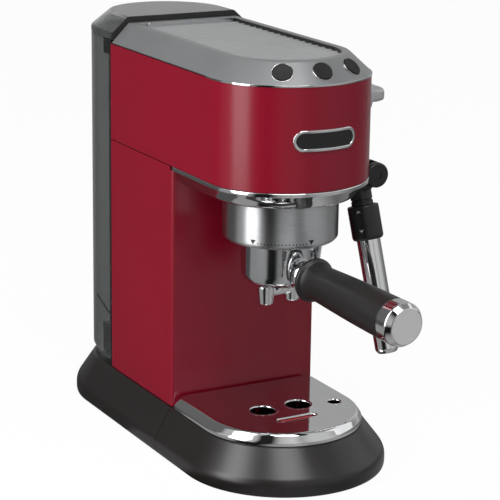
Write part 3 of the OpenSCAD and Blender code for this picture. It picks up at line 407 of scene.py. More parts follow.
def pill(length: float, width: float, inset: float = 0.0, count: int = 25) -> np.ndarray:
    """Gives a slot outline with round ends, along X, with points on its straight sides too.

    Args:
        length: Length over the ends.
        width: Width.
        inset: How far the outline is drawn in.
        count: Points on each round end.

    Returns:
        Flat points of the closed outline.
    """
    r, reach = width / 2 - inset, (length - width) / 2
    x = np.linspace(reach, -reach, 18)[1:-1]
    straight = np.stack([x, np.full_like(x, r)], 1)
    return np.concatenate([arc((reach, 0), r, -90, 90, count), straight,
                           arc((-reach, 0), r, 90, 270, count), -straight])


# ---- Finishes ------------------------------------------------------------------------


def linear(colour: str) -> tuple[float, float, float, float]:
    """Turns an sRGB hex colour to the linear values that a shader takes.

    Args:
        colour: Six hex digits after a #.

    Returns:
        Red, green, blue and full opacity.
    """
    srgb = np.array([int(colour[i : i + 2], 16) / 255 for i in (1, 3, 5)])
    values = np.where(srgb <= 0.04045, srgb / 12.92, ((srgb + 0.055) / 1.055) ** 2.4)
    return (*map(float, values), 1.0)


def add(
    tree: bpy.types.NodeTree, kind: str, inputs: dict | None = None, **settings: object
) -> bpy.types.Node:
    """Adds one node to a tree.

    Args:
        tree: Where it goes.
        kind: The node's type.
        inputs: Values, or output sockets to link, by the input's name or number.
        settings: Properties of the node itself.

    Returns:
        The node.
    """
    made = tree.nodes.new(kind)
    for key, value in settings.items():
        setattr(made, key, value)
    for key, value in (inputs or {}).items():
        if isinstance(value, bpy.types.NodeSocket):
            tree.links.new(value, made.inputs[key])
        else:
            made.inputs[key].default_value = value
    return made


class Grain(Enum):
    """How a surface was made, as the stretch of its pattern along X, Y and Z."""

    EVEN = (1.0, 1.0, 1.0)
    TURNED = (0.05, 0.05, 1.0)
    DRAWN_X = (0.02, 1.0, 1.0)


@dataclass(frozen=True)
class Finish:
    """One real material and process, with the pattern that it gives the surface.

    The pattern is noise with grains of `grain_mm`, stretched as the process stretches it. It
    moves the colour from `colour` towards `shade`, the roughness between its two values, and
    the height by `relief_mm`. `drag` spreads reflections upright, as level brush lines do.
    """

    name: str
    slot: str
    colour: str
    shade: str
    roughness: tuple[float, float]
    grain_mm: float
    relief_mm: float = 0.0
    grain: Grain = Grain.EVEN
    metallic: float = 0.0
    ior: float = 1.5
    clear: float = 0.0
    drag: float = 0.0
    dust_mm: float = 40.0

    def material(self) -> bpy.types.Material:
        """Builds the material once and gives the same one to every later piece.

        Returns:
            The material, named for the finish.
        """
        known = bpy.data.materials.get(self.name)
        if known is not None:
            return known
        made = bpy.data.materials.new(self.name)
        made.use_nodes = True
        tree = made.node_tree
        tree.nodes.clear()
        where = add(tree, "ShaderNodeTexCoord").outputs["Object"]
        stretch = [s * 1000.0 / self.grain_mm for s in self.grain.value]
        fine = add(tree, "ShaderNodeMapping", {"Vector": where, "Scale": stretch})
        grains = add(tree, "ShaderNodeTexNoise",
                     {"Vector": fine.outputs[0], "Scale": 1.0, "Detail": 3.0, "Roughness": 0.55})
        broad = add(tree, "ShaderNodeTexNoise",
                    {"Vector": where, "Scale": 1000.0 / self.dust_mm, "Detail": 2.0})
        both = add(tree, "ShaderNodeMath",
                   {0: grains.outputs[0], 1: broad.outputs[0]}, operation="ADD")
        smooth, rough = self.roughness
        level = add(tree, "ShaderNodeMapRange",
                    {0: both.outputs[0], 1: 0.7, 2: 1.3, 3: smooth, 4: rough})
        amount = add(tree, "ShaderNodeMapRange", {0: both.outputs[0], 1: 0.7, 2: 1.3})
        tint = add(tree, "ShaderNodeMix",
                   {0: amount.outputs[0], 6: linear(self.colour), 7: linear(self.shade)},
                   data_type="RGBA")
        shader = add(tree, "ShaderNodeBsdfPrincipled", {
            "Base Color": tint.outputs[2], "Roughness": level.outputs[0],
            "Metallic": self.metallic, "Transmission Weight": self.clear, "Anisotropic": self.drag,
        })
        if self.drag:
            upright = add(tree, "ShaderNodeCombineXYZ", {2: 1.0})
            tree.links.new(upright.outputs[0], shader.inputs["Tangent"])
        if not self.metallic:
            shader.inputs["IOR"].default_value = self.ior
        if self.relief_mm:
            bump = add(tree, "ShaderNodeBump", {
                "Height": grains.outputs[0], "Strength": 1.0, "Distance": self.relief_mm / 1000})
            tree.links.new(bump.outputs[0], shader.inputs["Normal"])
        add(tree, "ShaderNodeOutputMaterial", {"Surface": shader.outputs[0]})
        return made


# Sprayed satin enamel on steel sheet: deep red, a broad soft highlight, faint orange peel.
RED_ENAMEL = Finish(
    "red_satin_enamel", "red_paint", "#7D0520", "#78041D", (0.23, 0.27), 1.6, 0.004, ior=1.44,
    dust_mm=90,
)
# Moulded ABS with a fine spark-eroded texture: near black with a warm, silky highlight.
DARK_ABS = Finish(
    "dark_moulded_abs", "dark_plastic", "#181514", "#1C1918", (0.28, 0.35), 0.7, 0.010,
)
# Moulded black ABS, smoother than the base.
BLACK_ABS = Finish(
    "black_moulded_abs", "black_plastic", "#0E0E0F", "#121213", (0.34, 0.42), 0.8, 0.008,
)
# Black button caps: a fine matt tooth.
KEY_BLACK = Finish(
    "matt_black_key", "black_plastic", "#0C0C0D", "#101011", (0.5, 0.6), 0.6, 0.01, ior=1.38,
)
# Silver lacquer on moulded ABS: an even grey satin with a very fine metal flake.
SILVER_LACQUER = Finish(
    "silver_lacquered_abs", "grey_cover", "#848586", "#8A8B8C", (0.32, 0.40), 0.5, 0.004,
    metallic=0.5,
)
# Same lacquer, one coat lighter, as on the knob's moulding: the bar stands out from the cover.
KNOB_LACQUER = Finish(
    "pale_lacquered_abs", "grey_cover", "#A8A9AA", "#AEAFB0", (0.30, 0.38), 0.5, 0.003,
    metallic=0.45,
)
# Steel faced off and left satin: an even grey that mirrors nothing.
SATIN_FACE = Finish(
    "satin_faced_steel", "polished_steel", "#D9D9DA", "#DFDFDF", (0.42, 0.50), 0.4, 0.003,
    metallic=0.6,
)
# Anodised aluminium plate, ribbed: a little drier than the lacquer beside it.
ANODISED_PLATE = Finish(
    "anodised_ribbed_aluminium", "sheet_steel", "#A6A7A8", "#AFB0B1", (0.34, 0.44), 0.8, 0.006,
    Grain.DRAWN_X, metallic=0.5,
)
# Bright chromium plate on pressed steel: a clear mirror with the faintest wipe marks.
CHROME = Finish(
    "chromium_plated_steel", "polished_steel", "#DDDDDE", "#D5D6D7", (0.03, 0.07), 6.0,
    metallic=1.0, dust_mm=60,
)
# Stainless steel brushed round the part: soft upright bands with fine level lines.
BRUSHED_RING = Finish(
    "brushed_stainless_steel", "brushed_steel", "#C9CACB", "#B4B6B8", (0.30, 0.40), 0.5, 0.003,
    Grain.TURNED, metallic=1.0, drag=0.85,
)
# Stainless steel polished over the turning marks: brighter, with a trace of the lines.
POLISHED_STEEL = Finish(
    "polished_turned_steel", "brushed_steel", "#CCCED0", "#BDBFC1", (0.10, 0.18), 0.6, 0.002,
    Grain.TURNED, metallic=1.0,
)
# Soft-touch elastomer over the handle: matte black with a thin sheen.
SOFT_ELASTOMER = Finish(
    "soft_touch_elastomer", "soft_grip", "#131110", "#171514", (0.38, 0.46), 0.5, 0.008,
)
# Moulded rubber: flat black.
MOULDED_RUBBER = Finish(
    "moulded_rubber", "rubber", "#161616", "#1D1D1C", (0.7, 0.8), 1.2, 0.02,
)
# Smoked styrene-acrylonitrile: clear plastic with a grey tint and a polished face.
SMOKED_SAN = Finish(
    "smoked_clear_san", "smoked_clear", "#C6C9C8", "#C2C5C4", (0.02, 0.05), 8.0, clear=0.98,
)
# The same resin in the thicker lid, which looks a shade deeper.
DEEP_SAN = Finish(
    "smoked_clear_san_lid", "smoked_clear", "#A0A3A2", "#9C9F9E", (0.02, 0.05), 8.0, clear=0.97,
)
# Folded steel sheet with a zinc finish.
ZINC_SHEET = Finish(
    "zinc_plated_sheet", "sheet_steel", "#9A9C9E", "#84868A", (0.35, 0.5), 5.0, 0.004,
    metallic=1.0,
)
# Die-cast aluminium: light grey skin with a shot-blasted tooth.
DIE_CAST = Finish(
    "die_cast_aluminium", "cast_metal", "#A6A8AB", "#94969A", (0.45, 0.6), 1.2, 0.03,
    metallic=1.0,
)
# Machined brass.
BRASS = Finish(
    "machined_brass", "brass", "#B79D4E", "#A88C3E", (0.25, 0.35), 0.8, 0.003, Grain.TURNED,
    metallic=1.0,
)
# Enamelled coil winding tape round the pump.
COIL_TAPE = Finish(
    "coil_winding_tape", "brass", "#B08A2E", "#9A7420", (0.4, 0.5), 1.0, 0.01, Grain.TURNED,
)
# Clear silicone hose: milky and soft.
SILICONE = Finish(
    "silicone_hose", "clear_hose", "#D8D4C8", "#CFCABC", (0.3, 0.4), 3.0, clear=0.3,
)
# Moulded red polystyrene of the float.
RED_STYRENE = Finish(
    "red_moulded_styrene", "red_plastic", "#B3202A", "#A81C26", (0.3, 0.4), 2.0, 0.004,
)
# Solder-masked board.
SOLDER_MASK = Finish(
    "solder_masked_board", "circuit_board", "#1F5A2E", "#2F6B3C", (0.35, 0.5), 3.0, 0.01,
)
# Screen-printed ink for the marks.
BLACK_INK = Finish(
    "black_printed_ink", "black_plastic", "#101010", "#161616", (0.5, 0.6), 2.0,
)
WHITE_INK = Finish(
    "white_printed_ink", "grey_cover", "#D9D9D9", "#D2D2D2", (0.5, 0.6), 2.0,
)


# ---- Placing pieces ------------------------------------------------------------------


def box_skin(low: Sequence[float], high: Sequence[float], edge: float = 0.0) -> Skin:
    """Gives a block between two corners, with its upright edges and rims rounded.

    Args:
        low: Corner with the lowest X, Y and Z.
        high: Corner opposite to it.
        edge: How far the edges are rounded; 0 leaves them sharp.

    Returns:
        The block.
    """
    (x0, y0, z0), (x1, y1, z1) = low, high
    plan = rounded(np.array([[x0, y0], [x1, y0], [x1, y1], [x0, y1]]), [edge] * 4, 5, ring=True)
    middle = plan.mean(axis=0)
    rim = middle + (plan - middle) * (1 - 2 * edge / max(min(x1 - x0, y1 - y0), 1e-6) * 0.98)
    if not edge:
        return skin(np.stack([lifted(plan, z0), lifted(plan, z1)]))
    rows = [lifted(rim, z0), lifted(plan, z0), lifted(plan, z1), lifted(rim, z1)]
    return loft(rows, [0, edge, edge, 0])


def slab(
    line: np.ndarray,
    half: np.ndarray,
    top: np.ndarray,
    bottom: np.ndarray,
    place: Callable[[np.ndarray, np.ndarray, np.ndarray], np.ndarray],
    count: int = 25,
) -> Skin:
    """Makes a plate whose half width changes along a line.

    At each station of the line, the section runs across the top from -half to half and
    back across the bottom; `place` bends (along, across, height) into space.

    Args:
        line: Stations along the plate.
        half: Half width at each station.
        top: Height of the top at each station.
        bottom: Height of the bottom at each station.
        place: Turns the three coordinates into points.
        count: Points across the top.

    Returns:
        The plate.
    """
    across = np.linspace(-1, 1, count)
    u = np.concatenate([across, across[::-1]])[None]
    is_top = np.concatenate([np.ones(count), np.zeros(count)])[None]
    height = top[:, None] * is_top + bottom[:, None] * (1 - is_top)
    return skin(place(line[:, None] + 0 * u, half[:, None] * u, height))


def mesh_object(shape: Skin, name: str) -> bpy.types.Object:
    """Puts a surface into a new object at the origin, in metres.

    Args:
        shape: The surface, in millimetres in the maker's axes.
        name: The object's name.

    Returns:
        The object, linked to the scene.
    """
    mesh = bpy.data.meshes.new(name)
    faces = shape.quads.tolist() + shape.caps
    mesh.from_pydata(((shape.points + ORIGIN) / 1000.0).tolist(), [], faces)
    mesh.validate()
    made = bpy.data.objects.new(name, mesh)
    bpy.context.scene.collection.objects.link(made)
    return made


def carve(body: bpy.types.Object, cutters: Sequence[Skin]) -> None:
    """Cuts closed surfaces out of a piece, one after another, and keeps the cut mesh.

    Args:
        body: The piece.
        cutters: What is cut out of it.
    """
    for number, cutter in enumerate(cutters):
        tool = mesh_object(cutter, f"{body.name}_cutter{number}")
        cut = body.modifiers.new("Cut", "BOOLEAN")
        cut.operation, cut.solver, cut.object = "DIFFERENCE", "EXACT", tool
        graph = bpy.context.evaluated_depsgraph_get()
        mesh = bpy.data.meshes.new_from_object(body.evaluated_get(graph))
        body.modifiers.clear()
        body.data = mesh
        bpy.data.objects.remove(tool)


def piece(
    name: str,
    shape: Skin,
    finish: Finish,
    body: str = "machine",
    stands_for: Sequence[str] = (),
    cutters: Sequence[Skin] = (),
) -> bpy.types.Object:
    """Makes a finished piece and puts it on its body.

    Args:
        name: Its name.
        shape: Its surface.
        finish: Its material.
        body: The body it rides on.
        stands_for: The solids that it replaces.
        cutters: Surfaces cut out of it.

    Returns:
        The object.
    """
    made = mesh_object(shape, name)
    carve(made, cutters)
    made.data.polygons.foreach_set("use_smooth", [True] * len(made.data.polygons))
    made.data.set_sharp_from_angle(angle=math.radians(CREASE_DEG))
    made.data.materials.clear()
    made.data.materials.append(finish.material())
    even = made.modifiers.new("Even shading", "WEIGHTED_NORMAL")
    even.keep_sharp = True
    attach(made, body)
    if stands_for:
        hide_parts(*stands_for)
    log.info("%s: %d faces, %s", name, len(made.data.polygons), finish.name)
    return made


PLAN = HeadPlan()


# ---- Base ----------------------------------------------------------------------------


@dataclass
class Base:
    """Plastic base in two halves with a leaning joint, and the chrome cover on the tray."""

    half: float = 74.5
    front: float = 131.5
    back: float = 192.5
    lip_z: float = 11.0
    top_z: float = 31.0
    skirt_half: float = 60.0
    skirt_front: float = 114.0
    skirt_back: float = 180.0
    wall: float = 2.6
    seam_lean: float = 6.0
    cover_half: float = 59.2
    cover_front: float = 113.2
    cover_low: float = 31.35
    cover_top: float = 39.8
    cover_t: float = 1.4
    drain_r: float = 9.0
    finger_r: float = 4.8
    slot: tuple[float, float] = (30.5, 5.4)
    slot_y: float = 79.5

    def ring(self, z: float, d: float, lean: float, facing: int, gap: float) -> np.ndarray:
        """Gives the outline of one half of the base at a height.

        The half width and the reach shrink in a straight line from the lip to the top.

        Args:
            z: Height.
            d: How far the outline is drawn in.
            lean: Share of the way from the lip (0) to the top (1).
            facing: -1 for the tray, 1 for the rear half.
            gap: How far the cut stands from the middle of the joint.

        Returns:
            Points in space.
        """
        half = self.half + lean * (self.skirt_half - self.half) - d
        ends = (self.front, self.skirt_front) if facing < 0 else (self.back, self.skirt_back)
        tip = ends[0] + lean * (ends[1] - ends[0]) - d
        cut = -self.seam_lean * (1 - z / self.top_z) + facing * gap
        return lifted(half_round(half, facing * tip, cut, facing), z)

    def shell(self, facing: int, gap: float) -> Skin:
        """Lofts the outside: a softened foot, an upright lip and a leaning skirt.

        Args:
            facing: -1 for the tray, 1 for the rear half.
            gap: How far the half's edge stands from the middle of the joint.

        Returns:
            The outside, closed by flat ends.
        """
        keys = [(0.8, 20.0, 0), (0.8, 0.7, 0), (3.0, 0.0, 0), (self.lip_z, 0.0, 0),
                (self.top_z, 0.0, 1), (self.top_z, 20.0, 1)]
        rows = [self.ring(z, d, lean, facing, gap) for z, d, lean in keys]
        return loft(rows, [0, 1, 2, 6, 0.9, 0], 8)

    def hollow(self, facing: int, floor: float, roof: float) -> Skin:
        """Lofts the space inside the walls.

        Args:
            facing: -1 for the tray, 1 for the rear half.
            floor: Height of its bottom.
            roof: Height of its top.

        Returns:
            The space, as a surface to cut with.
        """
        d, gap = self.wall, self.wall + (0.25 if facing < 0 else 0)
        share = (roof - self.lip_z) / (self.top_z - self.lip_z)
        keys = [(floor, d + 12, 0), (floor, d, 0), (self.lip_z, d, 0), (roof, d, share)]
        return loft([self.ring(z, i, lean, facing, gap) for z, i, lean in keys], [0, 3, 5, 0])

    def halves(self) -> None:
        """Makes the rear half and the drip tray."""
        under = box_skin((-50.4, -30, -2), (50.4, 30, 8.2))
        bores = [turned([(12, 20), (12, 40)], [0, 0], Axis((0, 129.4, 0))),
                 turned([(7, 20), (7, 40)], [0, 0], Axis((0, 70, 0)))]
        gland = turned([(6, 150), (6, 240)], [0, 0], Axis((26, 0, 20), (0, 1, 0)))
        switch = box_skin((-34, 160, 13), (-14, 240, 27))
        piece("base_housing_moulding", self.shell(1, 0.0), DARK_ABS, "machine", ["base_housing"],
              [self.hollow(1, -3.0, self.top_z - self.wall), under, *bores, gland, switch])
        skid = loft([self.ring(z, self.wall + 1, 0, -1, -30) for z in (-3.0, 8.0)], [0, 0])
        piece("drip_tray_moulding", self.shell(-1, 0.5), DARK_ABS, "tray", ["drip_tray"],
              [self.hollow(-1, 9.6, self.top_z + 6), skid])
        stops = [box_skin((x - 1.5, -84.5, 9.5), (x + 1.5, -74.5, 26.6), 0.6) for x in (-16, 16)]
        piece("float_guides", join(*stops), DARK_ABS, "tray")

    def cover_ring(self, z: float, d: float, lean: float) -> np.ndarray:
        """Gives the cover's outline: drawn in by d, and by its lean towards the top.

        Args:
            z: Height.
            d: How far the outline is drawn in.
            lean: Share of the way from the rim (0) to the flat top (1).

        Returns:
            Points in space.
        """
        side, front, back = 4.6 * lean, 3.2 * lean, 1.6 * lean
        half, tip = self.cover_half - d - side, self.cover_front - d - front
        return lifted(arch(half, tip, -0.6 - d - back), z)

    @staticmethod
    def round_hole(at: tuple[float, float], r: float) -> Callable[[float], np.ndarray]:
        """Gives the outline of a round hole, as a function of its inset."""
        return lambda inset: arc((0, 0), r - inset, 0, 360, 49)[:-1] + np.array(at)

    def slot_hole(self, inset: float) -> np.ndarray:
        """Gives the outline of the float's slot, drawn in by an inset."""
        return pill(*self.slot, inset) + np.array([0, -self.slot_y])

    def collar(self, outline: Callable[[float], np.ndarray]) -> Skin:
        """Makes the drawn lip of a hole: flush on top, then rolled down into the hole.

        Args:
            outline: Gives the hole's outline for an inset.

        Returns:
            The lip, as a wall round the hole.
        """
        top = self.cover_top + 0.04
        section = [(-2.6, top), (0.0, top), (0.0, top - 5.4), (-0.9, top - 5.4), (-0.9, top - 2.4),
                   (-2.6, top - 1.7)]
        return wall(outline, section, [0.1, 2.2, 0.3, 0.3, 0.3, 0.1], open_ends=False, steps=9)

    def cover(self) -> None:
        """Makes the pressed cover with its rolled rim, drain holes, float slot and finger hole."""
        low, top, t = self.cover_low, self.cover_top, self.cover_t
        keys = [(top - t, 24, 1), (top - t, t, 1), (low + 3.2, t, 0.0), (low, t, 0.0),
                (low, 0, 0.0), (low + 2.6, 0, 0.0), (top, 0, 1), (top, 24, 1)]
        shape = loft([self.cover_ring(*key) for key in keys], [0, 2, 2, 0.2, 0.3, 2.4, 2.4, 0], 9)
        holes = [self.round_hole((s * 14.5, -56), self.drain_r) for s in (-1, 1)]
        holes += [self.round_hole((40.7, -62.6), self.finger_r), self.slot_hole]
        cuts = [skin(np.stack([lifted(hole(-2.3), z) for z in (top - 6, top + 6)]))
                for hole in holes]
        piece("cup_cover_pressing", shape, CHROME, "grille", ["cup_grille"], cuts)
        piece("cup_cover_collars", join(*[self.collar(hole) for hole in holes]), CHROME, "grille")

    def build(self) -> None:
        """Makes every piece of the base."""
        self.halves()
        self.cover()


# ---- Column and head -----------------------------------------------------------------


@dataclass
class Column:
    """Folded red sheet round the front and sides, from the base to the head."""

    half: float = 58.6
    back: float = 102.0
    foot_z: float = 31.2
    front_z: float = 206.4
    side_z: float = 209.1
    corner: float = 2.2
    sheet: float = 1.2
    step: tuple[float, float] = (4.2, 4.0)  # where the top edge rises, along Y

    def outline(self, inset: float) -> np.ndarray:
        """Gives the sheet's plan, drawn in by an inset, from the left back corner to the right.

        Args:
            inset: How far the outline is drawn in.

        Returns:
            Flat points: two straight sides and a front with folded corners.
        """
        r, half = max(self.corner - inset, 0.6), self.half - inset
        front = np.concatenate([arc((r - half, inset + r), r, 180, 270, 8),
                                arc((half - r, inset + r), r, 270, 360, 8)])
        return straight_sides(front, (self.back, *self.step))

    def build(self) -> None:
        """Makes the sheet; its sides stand higher than its front, behind the bright band."""
        foot, top, sheet = self.foot_z, self.front_z, self.sheet
        section = [(0, foot), (0, top), (sheet, top), (sheet, foot)]
        shape = wall(self.outline, section, [0.4] * 4)
        step_y = sum(self.step) / 2
        rise = (shape.points[:, 1] > step_y) & (shape.points[:, 2] > self.front_z - 1)
        shape.points[:, 2] += np.where(rise, self.side_z - self.front_z, 0.0)
        piece("column_sheet", shape, RED_ENAMEL, "machine", ["column_shell"])


@dataclass
class Head:
    """Red head with its bright band, pan and badge, and the silver cover with its recess."""

    band_z: tuple[float, float] = (206.55, 209.45)
    head_z: float = 209.6
    shoulder_z: float = 281.2
    trim_z: tuple[float, float] = (281.3, 281.95)
    front_trim_z: tuple[float, float] = (280.9, 282.2)
    cover_z: float = 282.0
    ridge_z: float = 296.0
    recess_z: float = 291.0
    recess_y: float = 50.3
    sheet: float = 1.2
    badge_z: float = 245.0
    badge_len: float = 48.0
    badge_h: float = 14.5
    badge_rim: float = 2.1
    rib_pitch: float = 9.0
    rib_h: float = 0.8
    plate_z: float = 292.6
    button_angles: tuple[float, float, float] = (-30.0, 0.0, 30.0)
    button_r: float = 6.7
    button_ring: float = 53.2
    button_y: float = 50.4
    button_z: float = 289.6

    def sheet_wall(self) -> None:
        """Makes the painted sheet and the bright band, with the thin trim above."""
        section = [(0, self.head_z), (0, self.shoulder_z), (self.sheet, self.shoulder_z),
                   (self.sheet, self.head_z)]
        shape = wall(PLAN.outline, section, [0.5, 0.6, 0.4, 0.4])
        piece("head_sheet", shape, RED_ENAMEL, "machine", ["head_shell"])
        low, high = self.band_z
        section = [(-0.4, low), (-0.4, high), (2.6, high), (2.6, low)]
        shape = wall(lambda i: PLAN.outline(i, -0.3), section, [0.5, 0.8, 0.2, 0.2])
        piece("head_band_strip", shape, CHROME, "machine", ["head_band"])
        low, high = self.trim_z
        section = [(-0.1, low), (-0.1, high), (2.4, high), (2.4, low)]
        shape = wall(lambda i: PLAN.outline(i, 99.9), section, [0.1] * 4)
        piece("upper_trim_strip", shape, BLACK_ABS, "machine", ["upper_trim"])
        low, high = self.front_trim_z
        section = [(-0.4, low), (-0.4, high), (1.0, high), (1.0, low)]
        shape = wall(lambda i: PLAN.outline(i, -50.0), section, [0.2] * 4)
        piece("upper_trim_front", shape, CHROME, "machine")

    @staticmethod
    def pan_plan(share: float, d: float) -> np.ndarray:
        """Gives the pan's outline, drawn in by d: the ring's round at 0, the band's arc at 1."""
        lower = PLAN.round_front(BREW_Y - d, -BREW_Y, -0.3)
        return (1 - share) * lower + share * PLAN.outline(1.4 + d, -0.3)

    def pan(self) -> None:
        """Makes the bright pan: it widens from the ring's round to the band's broad arc."""
        keys = [(0, 24, 197.6), (0, 1.6, 197.6), (1, 1.6, 206.3), (1, 0, 206.4), (0.47, 0, 201.6),
                (0, 0, 196.0), (0, 24, 196.0)]
        rows = [lifted(self.pan_plan(share, d), z) for share, d, z in keys]
        bore = turned([(40.4, 190), (40.4, 200)], [0, 0], Axis((0, -BREW_Y, 0)))
        arm = box_skin((48, -64.2, 199.2), (80, -58.8, 206.2))
        piece("head_pan_pressing", loft(rows, [0, 3, 0.2, 0.4, 5, 3, 0], 8), CHROME, "machine",
              ["head_underpan"], [bore, arm])

    def slope_axis(self, angle: float) -> Axis:
        """Gives the axis of a button, square to the sloping front.

        Args:
            angle: Where the button stands round the slope, from the front towards +X.

        Returns:
            The axis, with its height 0 on the slope.
        """
        a = math.radians(angle)
        r = self.button_ring
        at = (r * math.sin(a), -self.button_y - r * math.cos(a), self.button_z)
        return Axis(at, (math.sin(a), -math.cos(a), 1.0), (math.cos(a), math.sin(a), 0.0))

    def recess(self, inset: float) -> np.ndarray:
        """Gives the outline of the recess for the ribbed plate, drawn in by an inset."""
        return PLAN.round_front(40.0 - inset, -self.recess_y, 95.0 - inset)

    def cover(self) -> None:
        """Makes the silver cover with its slope, ridge, recess and button holes."""
        rows = [lifted(PLAN.ridge(14, 90), 288.9), lifted(PLAN.ridge(-3.4, 98), 288.9),
                lifted(PLAN.outline(3, 98), self.cover_z),
                lifted(PLAN.outline(0, 100), self.cover_z),
                lifted(PLAN.ridge(0, 100), self.ridge_z), lifted(self.recess(0), self.ridge_z),
                lifted(self.recess(0.6), self.recess_z), lifted(self.recess(20), self.recess_z)]
        cuts, hole, flange = [], self.button_r + 0.25, self.button_r + 2.4
        for angle in self.button_angles:
            axis = self.slope_axis(angle)
            cuts += [turned([(hole, -9), (hole, 6)], [0, 0], axis, sides=64),
                     turned([(flange, -10), (flange, -3)], [0, 0], axis, sides=64)]
        shape = loft(rows, [0, 1, 0.2, 0.3, 1.4, 0.7, 0.8, 0], 7)
        piece("top_cover_moulding", shape, SILVER_LACQUER, "machine", ["top_cover"], cuts)
        bezel = [(hole, -1.6), (hole, 0.25), (hole + 0.4, 0.25), (hole + 0.4, -1.6)]
        rings = [turned(bezel, [0.1, 0.2, 0.2, 0.1], self.slope_axis(a), hollow=True, sides=64)
                 for a in self.button_angles]
        piece("button_bezels", join(*rings), CHROME, "machine")

    def cup_plate(self) -> None:
        """Makes the ribbed plate, a thin black sheet on the recess wall round it that paints the
        wall's shade, and the bar at its rear.

        The plate's half width follows the recess. Its height is a level plus a row of
        narrow ribs, h cos^6(pi y / pitch), so that the ribs stand apart by flat strips.
        """
        half, centre, back = 39.6, -self.recess_y, 94.4
        y = np.linspace(centre - half + 0.15, back, 421)
        width = np.where(y < centre, np.sqrt(np.maximum(half**2 - (y - centre) ** 2, 0)), half)
        ribs = self.rib_h * np.cos(np.pi * (back - 7.0 - y) / self.rib_pitch) ** 6
        section = [(0, 291.2), (0, 295.3), (0.35, 295.3), (0.35, 291.2)]
        # Thin black sheet, 0.35 mm proud of the recess wall: painted shade for the dark band
        # between the plate and the ridge.
        painted_shade_sheet = wall(lambda i: PLAN.round_front(39.95 - i, centre, 94.9), section, [0.1] * 4)
        piece("recess_wall_painted_shade", painted_shade_sheet, BLACK_ABS, "machine")
        bar = box_skin((-32.0, 93.2, 292.7), (38.6, 96.6, 295.6), 0.9)
        piece("plate_rear_bar", bar, POLISHED_STEEL, "machine")
        under = np.full_like(y, self.recess_z + 0.05)
        plate = slab(y, width, self.plate_z + ribs, under, self.level)
        piece("cup_warming_plate", plate, ANODISED_PLATE, "machine", ["cup_plate"])

    @staticmethod
    def level(along: np.ndarray, across: np.ndarray, height: np.ndarray) -> np.ndarray:
        """Lays a plate's own coordinates flat: across is X, along is Y."""
        return np.stack([across, along, height], -1)

    def on_front(self, across: np.ndarray, up: np.ndarray, out: np.ndarray) -> np.ndarray:
        """Bends a flat badge round the head's front arc, out millimetres proud of it.

        Args:
            across: Distance along the arc, towards +X.
            up: Height above the badge's middle.
            out: Distance in front of the sheet.

        Returns:
            Points (r sin a, c - r cos a, z), where r is the arc's radius plus out, a is across
            over the arc's radius, and c is the arc's centre.
        """
        r = PLAN.front_r + out
        a = across / PLAN.front_r
        y = PLAN.front_r - PLAN.front - r * np.cos(a)
        return np.stack([r * np.sin(a), y, self.badge_z + up], -1)

    def badge(self) -> None:
        """Makes the bare badge plate and its bright rim, both bent round the head's front."""
        keys = np.array([(0, 0), (0, 1.4), (self.badge_rim, 1.4), (self.badge_rim, 0)])
        section = rounded(keys, [0, 0.7, 0.7, 0], 6, ring=True)
        flat = np.stack([pill(self.badge_len, self.badge_h, inset) for inset, _ in section])
        out = section[:, 1][:, None] + np.zeros(flat.shape[1])
        bead = skin(self.on_front(flat[..., 0], flat[..., 1], out), ring_rows=True)
        piece("badge_rim_bead", bead, CHROME, "machine", ["badge_rim"])
        half_len, half_h = self.badge_len / 2 - 1.9, self.badge_h / 2 - 1.9
        x = half_len * np.sin(np.linspace(-np.pi / 2, np.pi / 2, 81))[1:-1]
        over = np.maximum(np.abs(x) - (half_len - half_h), 0)
        height = np.sqrt(np.maximum(half_h**2 - over**2, 0.01))
        face = slab(x, height, np.full_like(x, 0.8), np.full_like(x, 0.02), self.on_front)
        piece("badge_face", face, BLACK_ABS, "machine", ["badge_plate"])

    def build(self) -> None:
        """Makes every piece of the head."""
        self.sheet_wall()
        self.pan()
        self.cover()
        self.cup_plate()
        self.badge()


# ---- Brew group and portafilter ------------------------------------------------------


